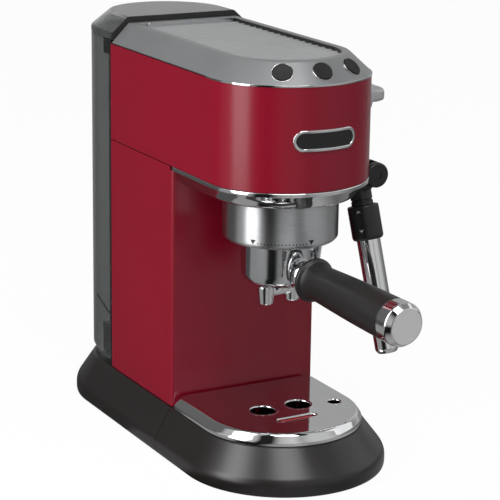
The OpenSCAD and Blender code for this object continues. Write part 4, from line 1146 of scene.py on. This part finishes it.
@dataclass
class BrewGroup:
    """Brushed bayonet ring under the head, with its printed marks."""

    ring_r: float = 40.5
    ring_z: float = 164.5
    bore_r: float = 36.0
    top_z: float = 206.3
    ledge_z: tuple[float, float] = (166.6, 170.5)
    mark_z: float = 168.7
    insert_deg: float = -51.0
    mark_deg: tuple[float, float] = (-57.0, 2.0)
    dots: int = 15
    dot_r: float = 0.52
    dot_gap_deg: float = 5.3

    def on_ring(self, outline: np.ndarray, angle: float) -> Skin:
        """Prints a flat outline on the ring, at an angle from the front towards +X.

        Args:
            outline: Flat points of the mark.
            angle: Where it stands, in degrees.

        Returns:
            The mark, as a thin film bent round the ring.
        """
        a = math.radians(angle) + outline[:, 0] / self.ring_r
        rows = [np.stack([r * np.sin(a), -BREW_Y - r * np.cos(a), self.mark_z + outline[:, 1]], 1)
                for r in (self.ring_r - 0.2, self.ring_r + 0.06)]
        return skin(np.stack(rows))

    def build(self) -> None:
        """Makes the ring, its ledges and the marks for inserting and closing."""
        bore, r, low, top = self.bore_r, self.ring_r, self.ring_z, self.top_z
        section = [(bore, low + 1), (r - 2.4, low), (r, low + 2.4), (r, top), (bore, top)]
        axis = Axis((0, -BREW_Y, 0))
        parts = [turned(section, [0.4, 1.2, 1.4, 0.1, 0.1], axis, hollow=True, sides=160, steps=8)]
        under, over = self.ledge_z
        ledge = [(31.1, under), (36.2, under), (36.2, over), (31.1, over)]
        for start in (self.insert_deg + 27, self.insert_deg + 207):
            sweep = (start - 90, start - 90 + 126)
            parts.append(turned(ledge, [0.3] * 4, axis, hollow=True, sides=40, sweep=sweep))
        piece("group_ring_turning", join(*parts), BRUSHED_RING, "machine", ["group_ring"])
        triangle = np.array([(-2.1, 2.7), (0.0, -0.7), (2.1, 2.7)])
        dot = arc((0, 0.3), self.dot_r, 0, 360, 13)[:-1]
        first, last = self.mark_deg[0] + self.dot_gap_deg, self.mark_deg[1] - self.dot_gap_deg
        dots = [self.on_ring(dot, a) for a in np.linspace(first, last, self.dots)]
        marks = [self.on_ring(triangle, a) for a in self.mark_deg]
        piece("group_ring_marks", join(*marks, *dots), BLACK_INK, "machine")


@dataclass
class Portafilter:
    """Steel cup, spouts and the long grip with its bright collar and cap."""

    handle_deg: float = 4.0
    droop_deg: float = 2.7
    handle_z: float = 145.4
    cup_r: float = 27.2
    cup_z: float = 132.5
    bore_r: float = 26.3
    rim_r: float = 30.6
    rim_z: float = 184.9
    grip_from: float = 40.5
    grip_to: float = 134.0
    grip_r: float = 15.0
    cap_len: float = 14.0
    spout_x: float = 11.0
    spout_r: float = 5.2

    def axis(self) -> Axis:
        """Gives the handle's axis, which leans a little below level."""
        a, d = math.radians(self.handle_deg), math.radians(self.droop_deg)
        out = (math.cos(d) * math.sin(a), -math.cos(d) * math.cos(a), -math.sin(d))
        return Axis((0, -BREW_Y, self.handle_z), out, (math.cos(a), math.sin(a), 0))

    def upright(self) -> Axis:
        """Gives the brew axis, turned so that its -Y points along the handle."""
        a = math.radians(self.handle_deg)
        return Axis((0, -BREW_Y, 0), (0, 0, 1), (math.cos(a), math.sin(a), 0))

    def cup(self) -> None:
        """Makes the cup with its bayonet lugs and the cast neck towards the handle.

        The neck's sections are rounded oblongs, (a |cos t|^(2/p), b |sin t|^(2/p)), whose
        half width a, half height b and power p change along the handle's axis.
        """
        up = self.upright()
        profile = [(4.5, self.cup_z), (20.2, self.cup_z), (24.6, self.cup_z + 1.8),
                   (self.cup_r, self.cup_z + 6), (self.cup_r, 164.0), (self.rim_r, 165.5),
                   (self.rim_r, self.rim_z), (self.bore_r, self.rim_z), (self.bore_r, 141.0),
                   (4.5, 141.0)]
        bends = [0.3, 3, 3, 3, 1, 0.5, 0.5, 0.3, 1, 0.3]
        parts = [turned(profile, bends, up, hollow=True, sides=128, steps=7)]
        for middle in (0, 180):
            parts.append(turned([(29, 171), (35.4, 171), (35.4, 175), (29, 175)], [0.4] * 4, up,
                                hollow=True, sides=30, sweep=(middle - 21, middle + 21)))
        s = np.array([20.0, 27.0, 32.4, 36.8])
        wide, tall = np.array([9.5, 8.8, 10.6, 7.8]), np.array([12.0, 10.2, 10.6, 7.8])
        power = np.array([3.0, 2.4, 2.0, 2.0])
        t = np.linspace(0, 2 * np.pi, 64, endpoint=False)[None]
        c, sn = np.cos(t), np.sin(t)
        x = wide[:, None] * np.sign(c) * np.abs(c) ** (2 / power[:, None])
        y = tall[:, None] * np.sign(sn) * np.abs(sn) ** (2 / power[:, None])
        neck = rounded(self.axis().put(np.stack([x, y, s[:, None] + 0 * t], -1)), [0, 1.5, 4, 0], 8)
        piece("portafilter_cup_turning", join(*parts), POLISHED_STEEL, "portafilter",
              ["portafilter_cup"])
        piece("portafilter_neck_casting", skin(neck), CHROME, "portafilter")

    def strap(self) -> None:
        """Makes the two narrow webs that stiffen the neck against the cup."""
        a = self.axis()
        sides = []
        for s in (-1, 1):
            outline = np.array([(21.5, 18.4), (28.6, 18.4), (25.4, -1.6), (24.2, -2.2),
                                (21.5, -2.2)])
            rows = [a.put(np.stack([np.full(5, x), outline[:, 1], outline[:, 0]], 1))
                    for x in (s * 14.0, s * 15.3)]
            sides.append(skin(np.stack(rows)))
        piece("neck_straps", join(*sides), CHROME, "portafilter")

    def spouts(self) -> None:
        """Makes the cross tube under the cup and its two down spouts.

        The tube's ends are closed by its radius, r sqrt(1 - (past / r)^2), beyond each spout.
        """
        up = self.upright()
        z = self.cup_z - self.spout_r
        u = up.frame()[0]
        centre = np.array([0, -BREW_Y, z])
        span = np.linspace(-self.spout_x - 4.0, self.spout_x + 4.0, 41)
        past = np.maximum(np.abs(span) - self.spout_x + 1.2, 0) / self.spout_r
        swell = np.sqrt(np.maximum(1 - past**2, 0.05))
        parts = [tube_skin(centre + span[:, None] * u, self.spout_r * swell, 40),
                 turned([(4.7, z), (8.2, z), (8.2, self.cup_z + 0.2), (4.7, self.cup_z + 0.2)],
                        [0.3, 0.8, 0.2, 0.2], up, hollow=True, sides=48)]
        for side in (-1, 1):
            at = centre + side * self.spout_x * u
            down = Axis((float(at[0]), float(at[1]), 0.0))
            r = self.spout_r
            profile = [(3.6, z - 10), (r - 0.5, z - 10), (r - 0.2, z - 9.2), (r + 1.0, z + 1.0),
                       (r + 0.8, z + 3.2), (3.6, z + 3.2)]
            bends = [0.3, 0.4, 0.3, 1.0, 0.8, 0.1]
            parts.append(turned(profile, bends, down, hollow=True, sides=48))
        piece("twin_spout_casting", join(*parts), CHROME, "portafilter", ["twin_spout"])

    def handle(self) -> None:
        """Makes the collar and its rod, the soft grip, and the bright cap."""
        axis, g, r = self.axis(), self.grip_from, self.grip_r
        collar = turned([(4, g - 6), (8.0, g - 6), (11.8, g - 4.4), (13.0, g - 0.6), (4, g - 0.05)],
                        [0, 1.5, 2.4, 1.6, 0], axis, sides=96, steps=9)
        rod = turned([(2, 29.2), (4, 29.2), (4, self.grip_to - 12), (2, self.grip_to - 12)],
                     [0, 0.4, 0.4, 0], axis, sides=32)
        piece("handle_collar_turning", join(collar, rod), CHROME, "portafilter", ["handle_collar"])
        reach = self.grip_to - g - 14.2
        barrel = [(r - 2.2 + 2.2 * math.sin(math.pi / 2 * t), g + 14 + t * reach)
                  for t in (0.0, 0.2, 0.4, 0.6, 0.8, 1.0)]
        profile = [(4.1, g), (r - 1.6, g), (r + 0.6, g + 1.2), (r + 0.6, g + 3.6),
                   (r - 1.6, g + 5.2), (r - 2.3, g + 9)] + barrel + [(4.1, self.grip_to - 0.2)]
        radii = [0.3, 0.9, 0.9, 1.0, 1.8, 3, 4, 6, 6, 6, 6, 0.5, 0.3]
        piece("handle_grip_moulding", turned(profile, radii, axis, hollow=True, sides=96, steps=5),
              SOFT_ELASTOMER, "portafilter", ["handle_grip"])
        end = self.grip_to + self.cap_len
        profile = [(4, self.grip_to), (r + 0.1, self.grip_to), (r + 0.2, end - 4.4), (r - 2.6, end),
                   (4, end)]
        piece("handle_cap_turning", turned(profile, [0, 0.5, 0.9, 0.6, 0], axis, sides=96), CHROME,
              "portafilter", ["handle_cap"])
        disc = [(0.2, end - 0.3), (r - 3.1, end - 0.3), (r - 3.1, end + 0.02), (0.2, end + 0.02)]
        face = turned(disc, [0, 0.1, 0.1, 0], axis, sides=96)
        piece("handle_cap_face", face, SATIN_FACE, "portafilter")

    def build(self) -> None:
        """Makes every piece of the portafilter."""
        self.cup()
        self.strap()
        self.spouts()
        self.handle()


# ---- Water tank ----------------------------------------------------------------------


@dataclass
class WaterTank:
    """Smoked clear tank behind the column, and its hinged lid."""

    half: float = 57.5
    front: float = 105.4
    back: float = 183.6
    foot_z: float = 34.0
    top_z: float = 284.0
    wall: float = 2.2
    lid_z: float = 284.4
    lid_top: float = 299.95
    lid_half: float = 57.7
    lid_front: float = 102.6
    hinge_y: float = 186.3
    hinge_z: float = 286.0
    knuckle_r: float = 3.4

    def ring(self, d: float, z: float, corner: float = 3.0) -> np.ndarray:
        """Gives the tank's outline: square front with soft corners and a round back.

        Args:
            d: How far the outline is drawn in.
            z: Height.
            corner: Radius of the front corners.

        Returns:
            Points in space.
        """
        half, front, back = self.half - d, self.front + d, self.back - d
        r = max(corner - d, 0.6)
        flat = np.concatenate([arc((0, back - half), half, 0, 180, 65),
                               arc((r - half, front + r), r, 180, 270, 8),
                               arc((half - r, front + r), r, 270, 360, 8)])
        return lifted(flat, z)

    def body(self) -> None:
        """Makes the shell with its stepped foot, the two hinge ears and the inlet's cover."""
        t = self.wall
        foot, top = self.foot_z, self.top_z
        keys = [(16, foot), (1.6, foot), (1.6, foot + 2.6), (0, foot + 4.4), (0, top), (t, top),
                (t, foot + t), (16, foot + t)]
        rows = [self.ring(d, z) for d, z in keys]
        cuts = [turned([(6.0, 30), (6.0, 40)], [0, 0], Axis((0, 129.4, 0)), sides=48),
                box_skin((-12, 175.6, 282.2), (12, 200, 320))]
        shell = loft(rows, [0, 1.2, 0.6, 1.5, 0.7, 0.7, 3, 0], 6)
        piece("water_tank_moulding", shell, SMOKED_SAN, "tank", ["water_tank"], cuts)
        ears, r = [], self.knuckle_r
        for s in (-1, 1):
            x0 = s * 16.1 - 4.0
            hinge = Axis((x0, self.hinge_y, self.hinge_z), (1, 0, 0), (0, 1, 0))
            ears.append(turned([(1.62, 0), (r, 0), (r, 8), (1.62, 8)], [0.1, 0.4, 0.4, 0.1],
                               hinge, hollow=True, sides=40))
            ears.append(box_skin((x0, 182.4, 272.2), (x0 + 8, 187.6, 283.6), 0.8))
        piece("tank_hinge_ears", join(*ears), SMOKED_SAN, "tank")
        shroud = box_skin((-51.5, 109.0, 36.5), (-45.0, 131.0, 59.5), 1.0)
        line = np.array([[-54.4, 112.0, 71.0], [-54.4, 124.0, 75.6], [-54.4, 135.0, 80.0]])
        rib = tube_skin(line, 0.8, 12)
        piece("tank_inlet_cover", join(shroud, rib), BLACK_ABS, "tank")

    def lid_ring(self, share: float, d: float, z: float) -> np.ndarray:
        """Gives the lid's outline at a height.

        Args:
            share: Way from the rim (0) to the flat top (1).
            d: How far the outline is drawn in.
            z: Height.

        Returns:
            Points in space: a round back between two square front corners.
        """
        half = self.lid_half + share * (PLAN.ridge_half - self.lid_half) - d
        back = self.back + 0.2 - 15 * share - d
        front = self.lid_front + d
        a = arc((0, back - half), half, 0, 180, 65)
        return lifted(np.concatenate([a, [[-half, front], [half, front]]]), z)

    def lid(self) -> None:
        """Makes the lid: an upright rim, then slopes to a flat top, with knuckle, and a black strip
        of painted shade over its front face.
        """
        z, top, t, ring = self.lid_z, self.lid_top, self.wall, self.lid_ring
        rows = [ring(1, 16, top - t), ring(1, t * 0.6, top - t), ring(0, t, z + 3.4), ring(0, t, z),
                ring(0, 0, z), ring(0, 0, z + 3.6), ring(1, 0, top), ring(1, 16, top)]
        hinge = Axis((-11.7, self.hinge_y, self.hinge_z), (1, 0, 0), (0, 1, 0))
        r = self.knuckle_r
        knuckle = turned([(1.65, 0), (r, 0), (r, 23.4), (1.65, 23.4)], [0.1, 0.4, 0.4, 0.1],
                         hinge, hollow=True, sides=40)
        arm = box_skin((-11.7, 179.6, 284.5), (11.7, 185.0, 287.6), 0.5)
        clear = [box_skin((x, 180, 283), (x + 10, 200, 289.4)) for x in (-21.7, 11.7)]
        piece("tank_lid_moulding", loft(rows, [0, 1, 1, 0.2, 0.4, 1.2, 1.2, 0], 6), DEEP_SAN, "lid",
              ["tank_lid"], clear)
        piece("lid_knuckle", join(knuckle, arm), SMOKED_SAN, "lid")
        # Thin black strip on the lid's front face: painted shade for the dark gap under the lid's
        # front edge, in the rubber finish's flat black.
        outer = np.array([(-57.5, 284.6), (-57.5, 287.9), (-44.5, 299.7), (44.5, 299.7),
                          (57.5, 287.9), (57.5, 284.6)])
        inner = np.array([(-52.0, 284.6), (-52.0, 285.6), (-42.4, 294.4), (42.4, 294.4),
                          (52.0, 285.6), (52.0, 284.6)])
        rows = [np.stack([path[:, 0], np.full(6, y), path[:, 1]], 1)
                for path, y in ((outer, 102.0), (outer, 102.55), (inner, 102.55), (inner, 102.0))]
        front_shade_strip = skin(np.stack(rows), ring_rows=True, ring_cols=False)
        piece("lid_front_painted_shade", front_shade_strip, MOULDED_RUBBER, "lid")

    def build(self) -> None:
        """Makes the tank and its lid."""
        self.body()
        self.lid()


# ---- Buttons, knob and wand ----------------------------------------------------------


@dataclass
class Controls:
    """Three push buttons, the steam knob, and the wand with its sleeve."""

    head: Head
    knob_y: float = -50.0
    knob_z: float = 261.5
    knob_x: float = 58.9
    knob_r: float = 17.0
    knuckle: tuple[float, float, float] = (68.0, -61.5, 205.0)
    wand_top: tuple[float, float, float] = (64.8, -55.0, 180.9)
    wand_dir: tuple[float, float, float] = (0.08, -0.239, -0.968)
    wand_len: float = 107.0
    neck_r: float = 7.8
    tube_r: float = 8.5
    sleeve_r: float = 11.2
    sleeve_len: float = 24.5
    print_side: tuple[float, float, float] = (-0.467, -0.844, 0.2)
    arrow_shift: float = 4.4

    def buttons(self) -> None:
        """Makes the buttons: slightly dished caps with a soft edge, square to the slope."""
        r, flange = self.head.button_r, self.head.button_r + 0.9
        profile = [(1.0, -4.4), (flange, -4.4), (flange, -3.3), (r, -3.3), (r, 1.2), (r - 1.1, 1.2),
                   (1.0, 0.9)]
        for name, angle in zip(("left", "middle", "right"), self.head.button_angles):
            axis = self.head.slope_axis(angle)
            shape = turned(profile, [0, 0.2, 0.2, 0.1, 0.9, 1.0, 0], axis, sides=64)
            piece(f"button_{name}_cap", shape, KEY_BLACK, f"{name}_button", [f"button_{name}"])

    def knob(self) -> None:
        """Makes the knob: a turned disc with a rounded grip bar across it, and its spindle.

        Each row of the bar is the rounded oblong (a |cos t|^0.35, b |sin t|^0.5), drawn in
        towards the top and kept inside the disc.
        """
        axis = Axis((self.knob_x, self.knob_y, self.knob_z), (1, 0, 0), (0, 1, 0))
        r = self.knob_r
        disc = turned([(3, 0), (r, 0), (r, 5), (9, 5)], [0, 0.5, 1.4, 0], axis, sides=96)
        spindle = turned([(1, -18.6), (3, -18.6), (3, 0.1), (1, 0.1)], [0, 0.3, 0, 0], axis,
                         sides=32)
        h = np.linspace(0, 1, 9)[:, None]
        half_len = np.sqrt(1 - (0.22 * h**3) ** 2) * (r - 1.0) - 1.0 * h**4
        t = np.linspace(0, 2 * np.pi, 72, endpoint=False)[None]
        c, s = np.cos(t), np.sin(t)
        along = half_len * np.sign(c) * np.abs(c) ** 0.35
        across = (5.5 - 0.9 * h**3) * np.sign(s) * np.abs(s) ** 0.5
        reach = np.sqrt(np.maximum((r - 1.0) ** 2 - across**2, 0))
        along = np.clip(along, -reach, reach)
        grid = axis.put(np.stack([along, across, 4.8 + 10.15 * h + 0 * t], -1))
        shape = join(disc, spindle, skin(grid))
        piece("steam_knob_moulding", shape, KNOB_LACQUER, "knob", ["steam_knob"])

    def along(self, start: float = 0.0) -> Axis:
        """Gives the wand's axis from a distance below the sleeve's top."""
        at = np.array(self.wand_top) + start * np.array(self.wand_dir)
        return Axis(tuple(map(float, at)), self.wand_dir, (1, 0, 0))

    def elbow(self) -> None:
        """Makes the knuckle, slotted for the tongue, and the ringed neck below it."""
        pin = Axis(self.knuckle, (0, -1, 0), (1, 0, 0))
        disc = turned([(2, -7.5), (9, -7.5), (9, 7.5), (2, 7.5)], [0, 1.6, 1.6, 0], pin, sides=72)
        top = np.array(self.knuckle)
        low = self.along(-10.0)
        t = np.linspace(0, 2 * np.pi, 64, endpoint=False)
        first = top + np.stack([8.2 * np.cos(t), 6.6 * np.sin(t), 0 * t], 1)
        local = (self.neck_r - 0.1) * np.stack([np.cos(t), np.sin(t), 0 * t], 1)
        last = low.put(local * [1, -1, 1])
        share = np.linspace(0, 1, 10)[:, None, None]
        blend = skin((1 - share) * first + share * last)
        r = self.neck_r
        profile = [(2, -11), (r, -11), (r, -4.4), (r - 0.6, -4.0), (r - 0.6, -3.4), (r, -3.0),
                   (r, 6), (2, 6)]
        neck = turned(profile, [0, 0.6] + [0.15] * 4 + [0.4, 0], self.along(), sides=64)
        slot = [turned([(3.05, -9), (3.05, 9)], [0, 0], pin, sides=40),
                turned([(5.8, -2.8), (5.8, 2.8)], [0, 0], pin, sides=48),
                box_skin((20, -64.3, 199.2), (69.4, -58.7, 230.0))]
        piece("wand_knuckle", disc, BLACK_ABS, "wand", ["wand_elbow"], slot)
        piece("wand_neck_blend", blend, BLACK_ABS, "wand", [], slot)
        piece("wand_neck", neck, BLACK_ABS, "wand")

    def frother(self) -> None:
        """Makes the bright tube and the sliding sleeve with its two printed arrows."""
        r, n = self.tube_r, self.wand_len - 6
        profile = [(1, 0.02), (self.neck_r - 0.2, 0.02), (r, 1.0), (r, n - 2.4), (r - 2.0, n),
                   (3, n), (3, n - 20), (1, n - 20)]
        bends = [0, 0.4, 0.4, 1.2, 0.6, 0.4, 0.3, 0]
        piece("frother_tube_drawn", turned(profile, bends, self.along(6.0), sides=72), CHROME,
              "wand", ["frother_tube"])
        s, length = self.sleeve_r, self.sleeve_len
        profile = [(r + 0.3, 0), (s - 0.6, 0), (s, 0.8), (s, length - 1.6), (s - 1.0, length),
                   (r + 0.3, length)]
        axis = self.along()
        sleeve = turned(profile, [0.2, 0.4, 0.6, 0.8, 0.5, 0.2], axis, hollow=True, sides=72)
        piece("frother_sleeve", sleeve, BLACK_ABS, "selector", ["frother_selector"])
        u, v, _ = axis.frame()
        facing = math.atan2(np.dot(self.print_side, v), np.dot(self.print_side, u))
        marks = []
        for start, point in ((4.6, -1.0), (16.4, 1.0)):
            flat = np.array([(-1.5, 0.0), (0.0, 2.0 * point), (1.5, 0.0)])
            a = facing + (flat[:, 0] + self.arrow_shift) / s
            rows = [axis.put(np.stack([k * np.cos(a), k * np.sin(a), start + flat[:, 1]], 1))
                    for k in (s - 0.2, s + 0.05)]
            marks.append(skin(np.stack(rows)))
        piece("sleeve_arrows", join(*marks), WHITE_INK, "selector")

    def build(self) -> None:
        """Makes every control."""
        self.buttons()
        self.knob()
        self.elbow()
        self.frother()


# ---- Carried-over solids -------------------------------------------------------------

KEPT: dict[Finish, tuple[str, ...]] = {
    ZINC_SHEET: ("base_frame", "base_screws", "column_frame", "lid_pin", "shower_screw",
                 "basket_spring"),
    MOULDED_RUBBER: ("rubber_feet", "cable_gland", "group_gasket", "pump_mounts"),
    BLACK_ABS: ("switch_frame", "switch_rocker", "tank_socket", "rear_panel", "flow_meter",
                "button_frame", "tank_valve", "tank_filter", "tank_grip", "wand_bracket"),
    RED_STYRENE: ("level_float",),
    SOLDER_MASK: ("power_board", "control_board"),
    COIL_TAPE: ("pump",),
    SILICONE: ("suction_hose", "delivery_pipe"),
    DIE_CAST: ("head_frame", "thermoblock", "brew_head"),
    BRASS: ("steam_valve",),
    POLISHED_STEEL: ("steam_pipe", "shower_screen", "filter_basket"),
}


def dress_kept() -> None:
    """Gives every solid that stays its own finish, through its material slots."""
    for finish, names in KEPT.items():
        for name in names:
            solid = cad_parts[name]
            for slot in solid.material_slots:
                slot.material = finish.material()
            log.info("%s kept: %s", name, finish.name)


# ---- Studio --------------------------------------------------------------------------


@dataclass
class Studio:
    """Pale floor, soft lamps and the camera.

    Each row of `lamps` is a name, azimuth, elevation, distance, size and power. Each pair of
    `room` is a direction, in degrees from the front towards +X, and how bright it looks there
    in polished metal: soft boxes and backdrop, with darker gaps between them.
    """

    azimuth: float = -28.985
    elevation: float = 15.305
    roll: float = 0.809
    lens: float = 141.42
    eye: tuple[float, float, float] = (-660.7, -1200.6, 517.1)
    fill: float = 0.25
    paper_glow: float = 0.96
    floor_share: float = 0.6
    reach: float = 12.0
    aim_z: float = 0.16
    lamps: tuple[tuple[str, float, float, float, tuple[float, float], float], ...] = (
        ("left_box", -90, 34, 1.5, (0.5, 1.4), 7.5),
        ("left_strip", -82, 18, 0.75, (0.38, 0.8), 3.4),
        ("top_front_box", -12, 60, 1.5, (0.8, 0.7), 12.0),
        ("right_box", 75, 25, 1.6, (1.1, 1.1), 3.0),
    )
    room: tuple[tuple[float, float], ...] = (
        (-124.0, 0.16), (-118.0, 0.58), (-66.0, 0.58), (-58.0, 0.02), (-40.0, 0.02), (-28.0, 0.56),
        (-8.0, 0.76), (4.0, 0.46), (20.0, 0.68), (44.0, 0.68), (74.0, 0.26), (100.0, 0.34),
        (120.0, 0.60), (140.0, 0.42), (165.0, 0.5), (-165.0, 0.16),
    )

    def camera(self) -> None:
        """Places the camera by its direction, tilt and roll."""
        a, e, r = (math.radians(v) for v in (self.azimuth, self.elevation, self.roll))
        back = np.array([math.sin(a) * math.cos(e), -math.cos(a) * math.cos(e), math.sin(e)])
        right = np.array([math.cos(a), math.sin(a), 0.0])
        up = np.cross(back, right)
        turned_right = math.cos(r) * right + math.sin(r) * up
        turned_up = -math.sin(r) * right + math.cos(r) * up
        lens = bpy.data.cameras.new("camera")
        lens.lens, lens.sensor_width, lens.clip_start = self.lens, 36.0, 0.05
        eye = bpy.data.objects.new("camera", lens)
        rows = np.stack([turned_right, turned_up, back, (np.array(self.eye) + ORIGIN) / 1000], 1)
        eye.matrix_world = Matrix([*rows.tolist(), [0, 0, 0, 1]])
        bpy.context.scene.collection.objects.link(eye)
        bpy.context.scene.camera = eye

    def lamp(self, name: str, azimuth: float, elevation: float, distance: float,
             size: tuple[float, float], watts: float) -> None:
        """Hangs a soft box that faces the machine.

        Args:
            name: Its name.
            azimuth: Direction from the front towards +X, in degrees.
            elevation: Height above level, in degrees.
            distance: How far it hangs, in metres.
            size: Width and height in metres.
            watts: Power.
        """
        a, e = math.radians(azimuth), math.radians(elevation)
        out = np.array([math.sin(a) * math.cos(e), -math.cos(a) * math.cos(e), math.sin(e)])
        right = np.array([math.cos(a), math.sin(a), 0.0])
        light = bpy.data.lights.new(name, "AREA")
        light.shape, light.size, light.size_y, light.energy = "RECTANGLE", size[0], size[1], watts
        box = bpy.data.objects.new(name, light)
        place = np.array([0.0, 0.0, self.aim_z]) + distance * out
        rows = np.stack([right, np.cross(out, right), out, place], 1)
        box.matrix_world = Matrix([*rows.tolist(), [0, 0, 0, 1]])
        bpy.context.scene.collection.objects.link(box)

    def around(self, tree: bpy.types.NodeTree, way: bpy.types.NodeSocket) -> bpy.types.NodeSocket:
        """Gives how bright the room looks in polished metal, by direction round the machine.

        Args:
            tree: Where the nodes go.
            way: Direction, or place on the floor.

        Returns:
            The brightness, read between the stops of `room`.
        """
        turn = add(tree, "ShaderNodeTexGradient", {"Vector": way}, gradient_type="RADIAL")
        ramp = add(tree, "ShaderNodeValToRGB", {0: turn.outputs[0]})
        stops = sorted(((angle / 360 + 0.25) % 1.0, level) for angle, level in self.room)
        seam = 0.5 * (stops[0][1] + stops[-1][1])
        steps = ramp.color_ramp.elements
        for step, (place, level) in zip(tuple(steps), ((0.0, seam), (1.0, seam))):
            step.position, step.color = place, (level, level, level, 1.0)
        for place, level in stops:
            steps.new(place).color = (level, level, level, 1.0)
        return ramp.outputs[0]

    @staticmethod
    def seen(tree: bpy.types.NodeTree, path: bpy.types.Node) -> bpy.types.NodeSocket:
        """Tells what the eye sees, straight or through clear plastic, from the rest.

        Args:
            tree: Where the nodes go.
            path: The light path node.

        Returns:
            1 for what is seen, 0 for what only lights the machine or shows in metal.
        """
        straight, through = path.outputs["Is Camera Ray"], path.outputs["Is Transmission Ray"]
        either = add(tree, "ShaderNodeMath", {0: straight, 1: through}, operation="MAXIMUM")
        return either.outputs[0]

    def world(self) -> None:
        """Makes the background white, and softer for what only lights the machine."""
        world = bpy.data.worlds.new("studio")
        world.use_nodes = True
        tree = world.node_tree
        tree.nodes.clear()
        path = add(tree, "ShaderNodeLightPath")
        seen = self.seen(tree, path)
        white = add(tree, "ShaderNodeBackground", {"Color": linear("#FFFFFF"), "Strength": 1.0})
        way = add(tree, "ShaderNodeTexCoord").outputs["Generated"]
        mirror = add(tree, "ShaderNodeBackground",
                     {"Color": self.around(tree, way), "Strength": 1.0})
        fill = add(tree, "ShaderNodeBackground",
                   {"Color": linear("#FFFFFF"), "Strength": self.fill})
        soft = add(tree, "ShaderNodeMixShader",
                   {0: path.outputs["Is Glossy Ray"], 1: fill.outputs[0], 2: mirror.outputs[0]})
        mixed = add(tree, "ShaderNodeMixShader",
                    {0: seen, 1: soft.outputs[0], 2: white.outputs[0]})
        add(tree, "ShaderNodeOutputWorld", {"Surface": mixed.outputs[0]})
        bpy.context.scene.world = world

    def floor(self) -> None:
        """Lays the floor: white to the eye, with the machine's shadow kept on it."""
        mesh = bpy.data.meshes.new("floor")
        r = self.reach
        mesh.from_pydata([(-r, -r, 0), (r, -r, 0), (r, r, 0), (-r, r, 0)], [], [(0, 1, 2, 3)])
        sheet = bpy.data.objects.new("floor", mesh)
        bpy.context.scene.collection.objects.link(sheet)
        paper = bpy.data.materials.new("white_paper_sweep")
        paper.use_nodes = True
        tree = paper.node_tree
        tree.nodes.clear()
        where = add(tree, "ShaderNodeTexCoord").outputs["Object"]
        fibre = add(tree, "ShaderNodeTexNoise", {"Vector": where, "Scale": 900.0, "Detail": 2.0})
        tint = add(tree, "ShaderNodeMix",
                   {0: fibre.outputs[0], 6: linear("#EDEDED"), 7: linear("#F2F2F2")},
                   data_type="RGBA")
        matt = add(tree, "ShaderNodeBsdfDiffuse", {"Color": tint.outputs[2]})
        glow = add(tree, "ShaderNodeEmission", {"Color": linear("#FFFFFF"), "Strength": 1.0})
        path = add(tree, "ShaderNodeLightPath")
        seen = self.seen(tree, path)
        share = add(tree, "ShaderNodeMath", {0: seen, 1: self.paper_glow}, operation="MULTIPLY")
        mixed = add(tree, "ShaderNodeMixShader",
                    {0: share.outputs[0], 1: matt.outputs[0], 2: glow.outputs[0]})
        mirror = add(tree, "ShaderNodeEmission",
                     {"Color": self.around(tree, where), "Strength": self.floor_share})
        whole = add(tree, "ShaderNodeMixShader",
                    {0: path.outputs["Is Glossy Ray"], 1: mixed.outputs[0], 2: mirror.outputs[0]})
        add(tree, "ShaderNodeOutputMaterial", {"Surface": whole.outputs[0]})
        mesh.materials.append(paper)

    def build(self) -> None:
        """Sets the camera, the background, the floor and the lamps."""
        self.camera()
        self.world()
        self.floor()
        for lamp in self.lamps:
            self.lamp(*lamp)
        bpy.context.scene.view_settings.view_transform = "Standard"


def main() -> None:
    """Builds the studio and every sub-assembly, in order."""
    logging.basicConfig(level=logging.INFO, format="%(message)s")
    Studio().build()
    head = Head()
    for part in (Base(), Column(), head, BrewGroup(), Portafilter(), WaterTank(), Controls(head)):
        part.build()
        log.info("%s done", type(part).__name__)
    dress_kept()


if __name__ == "__main__":
    main()
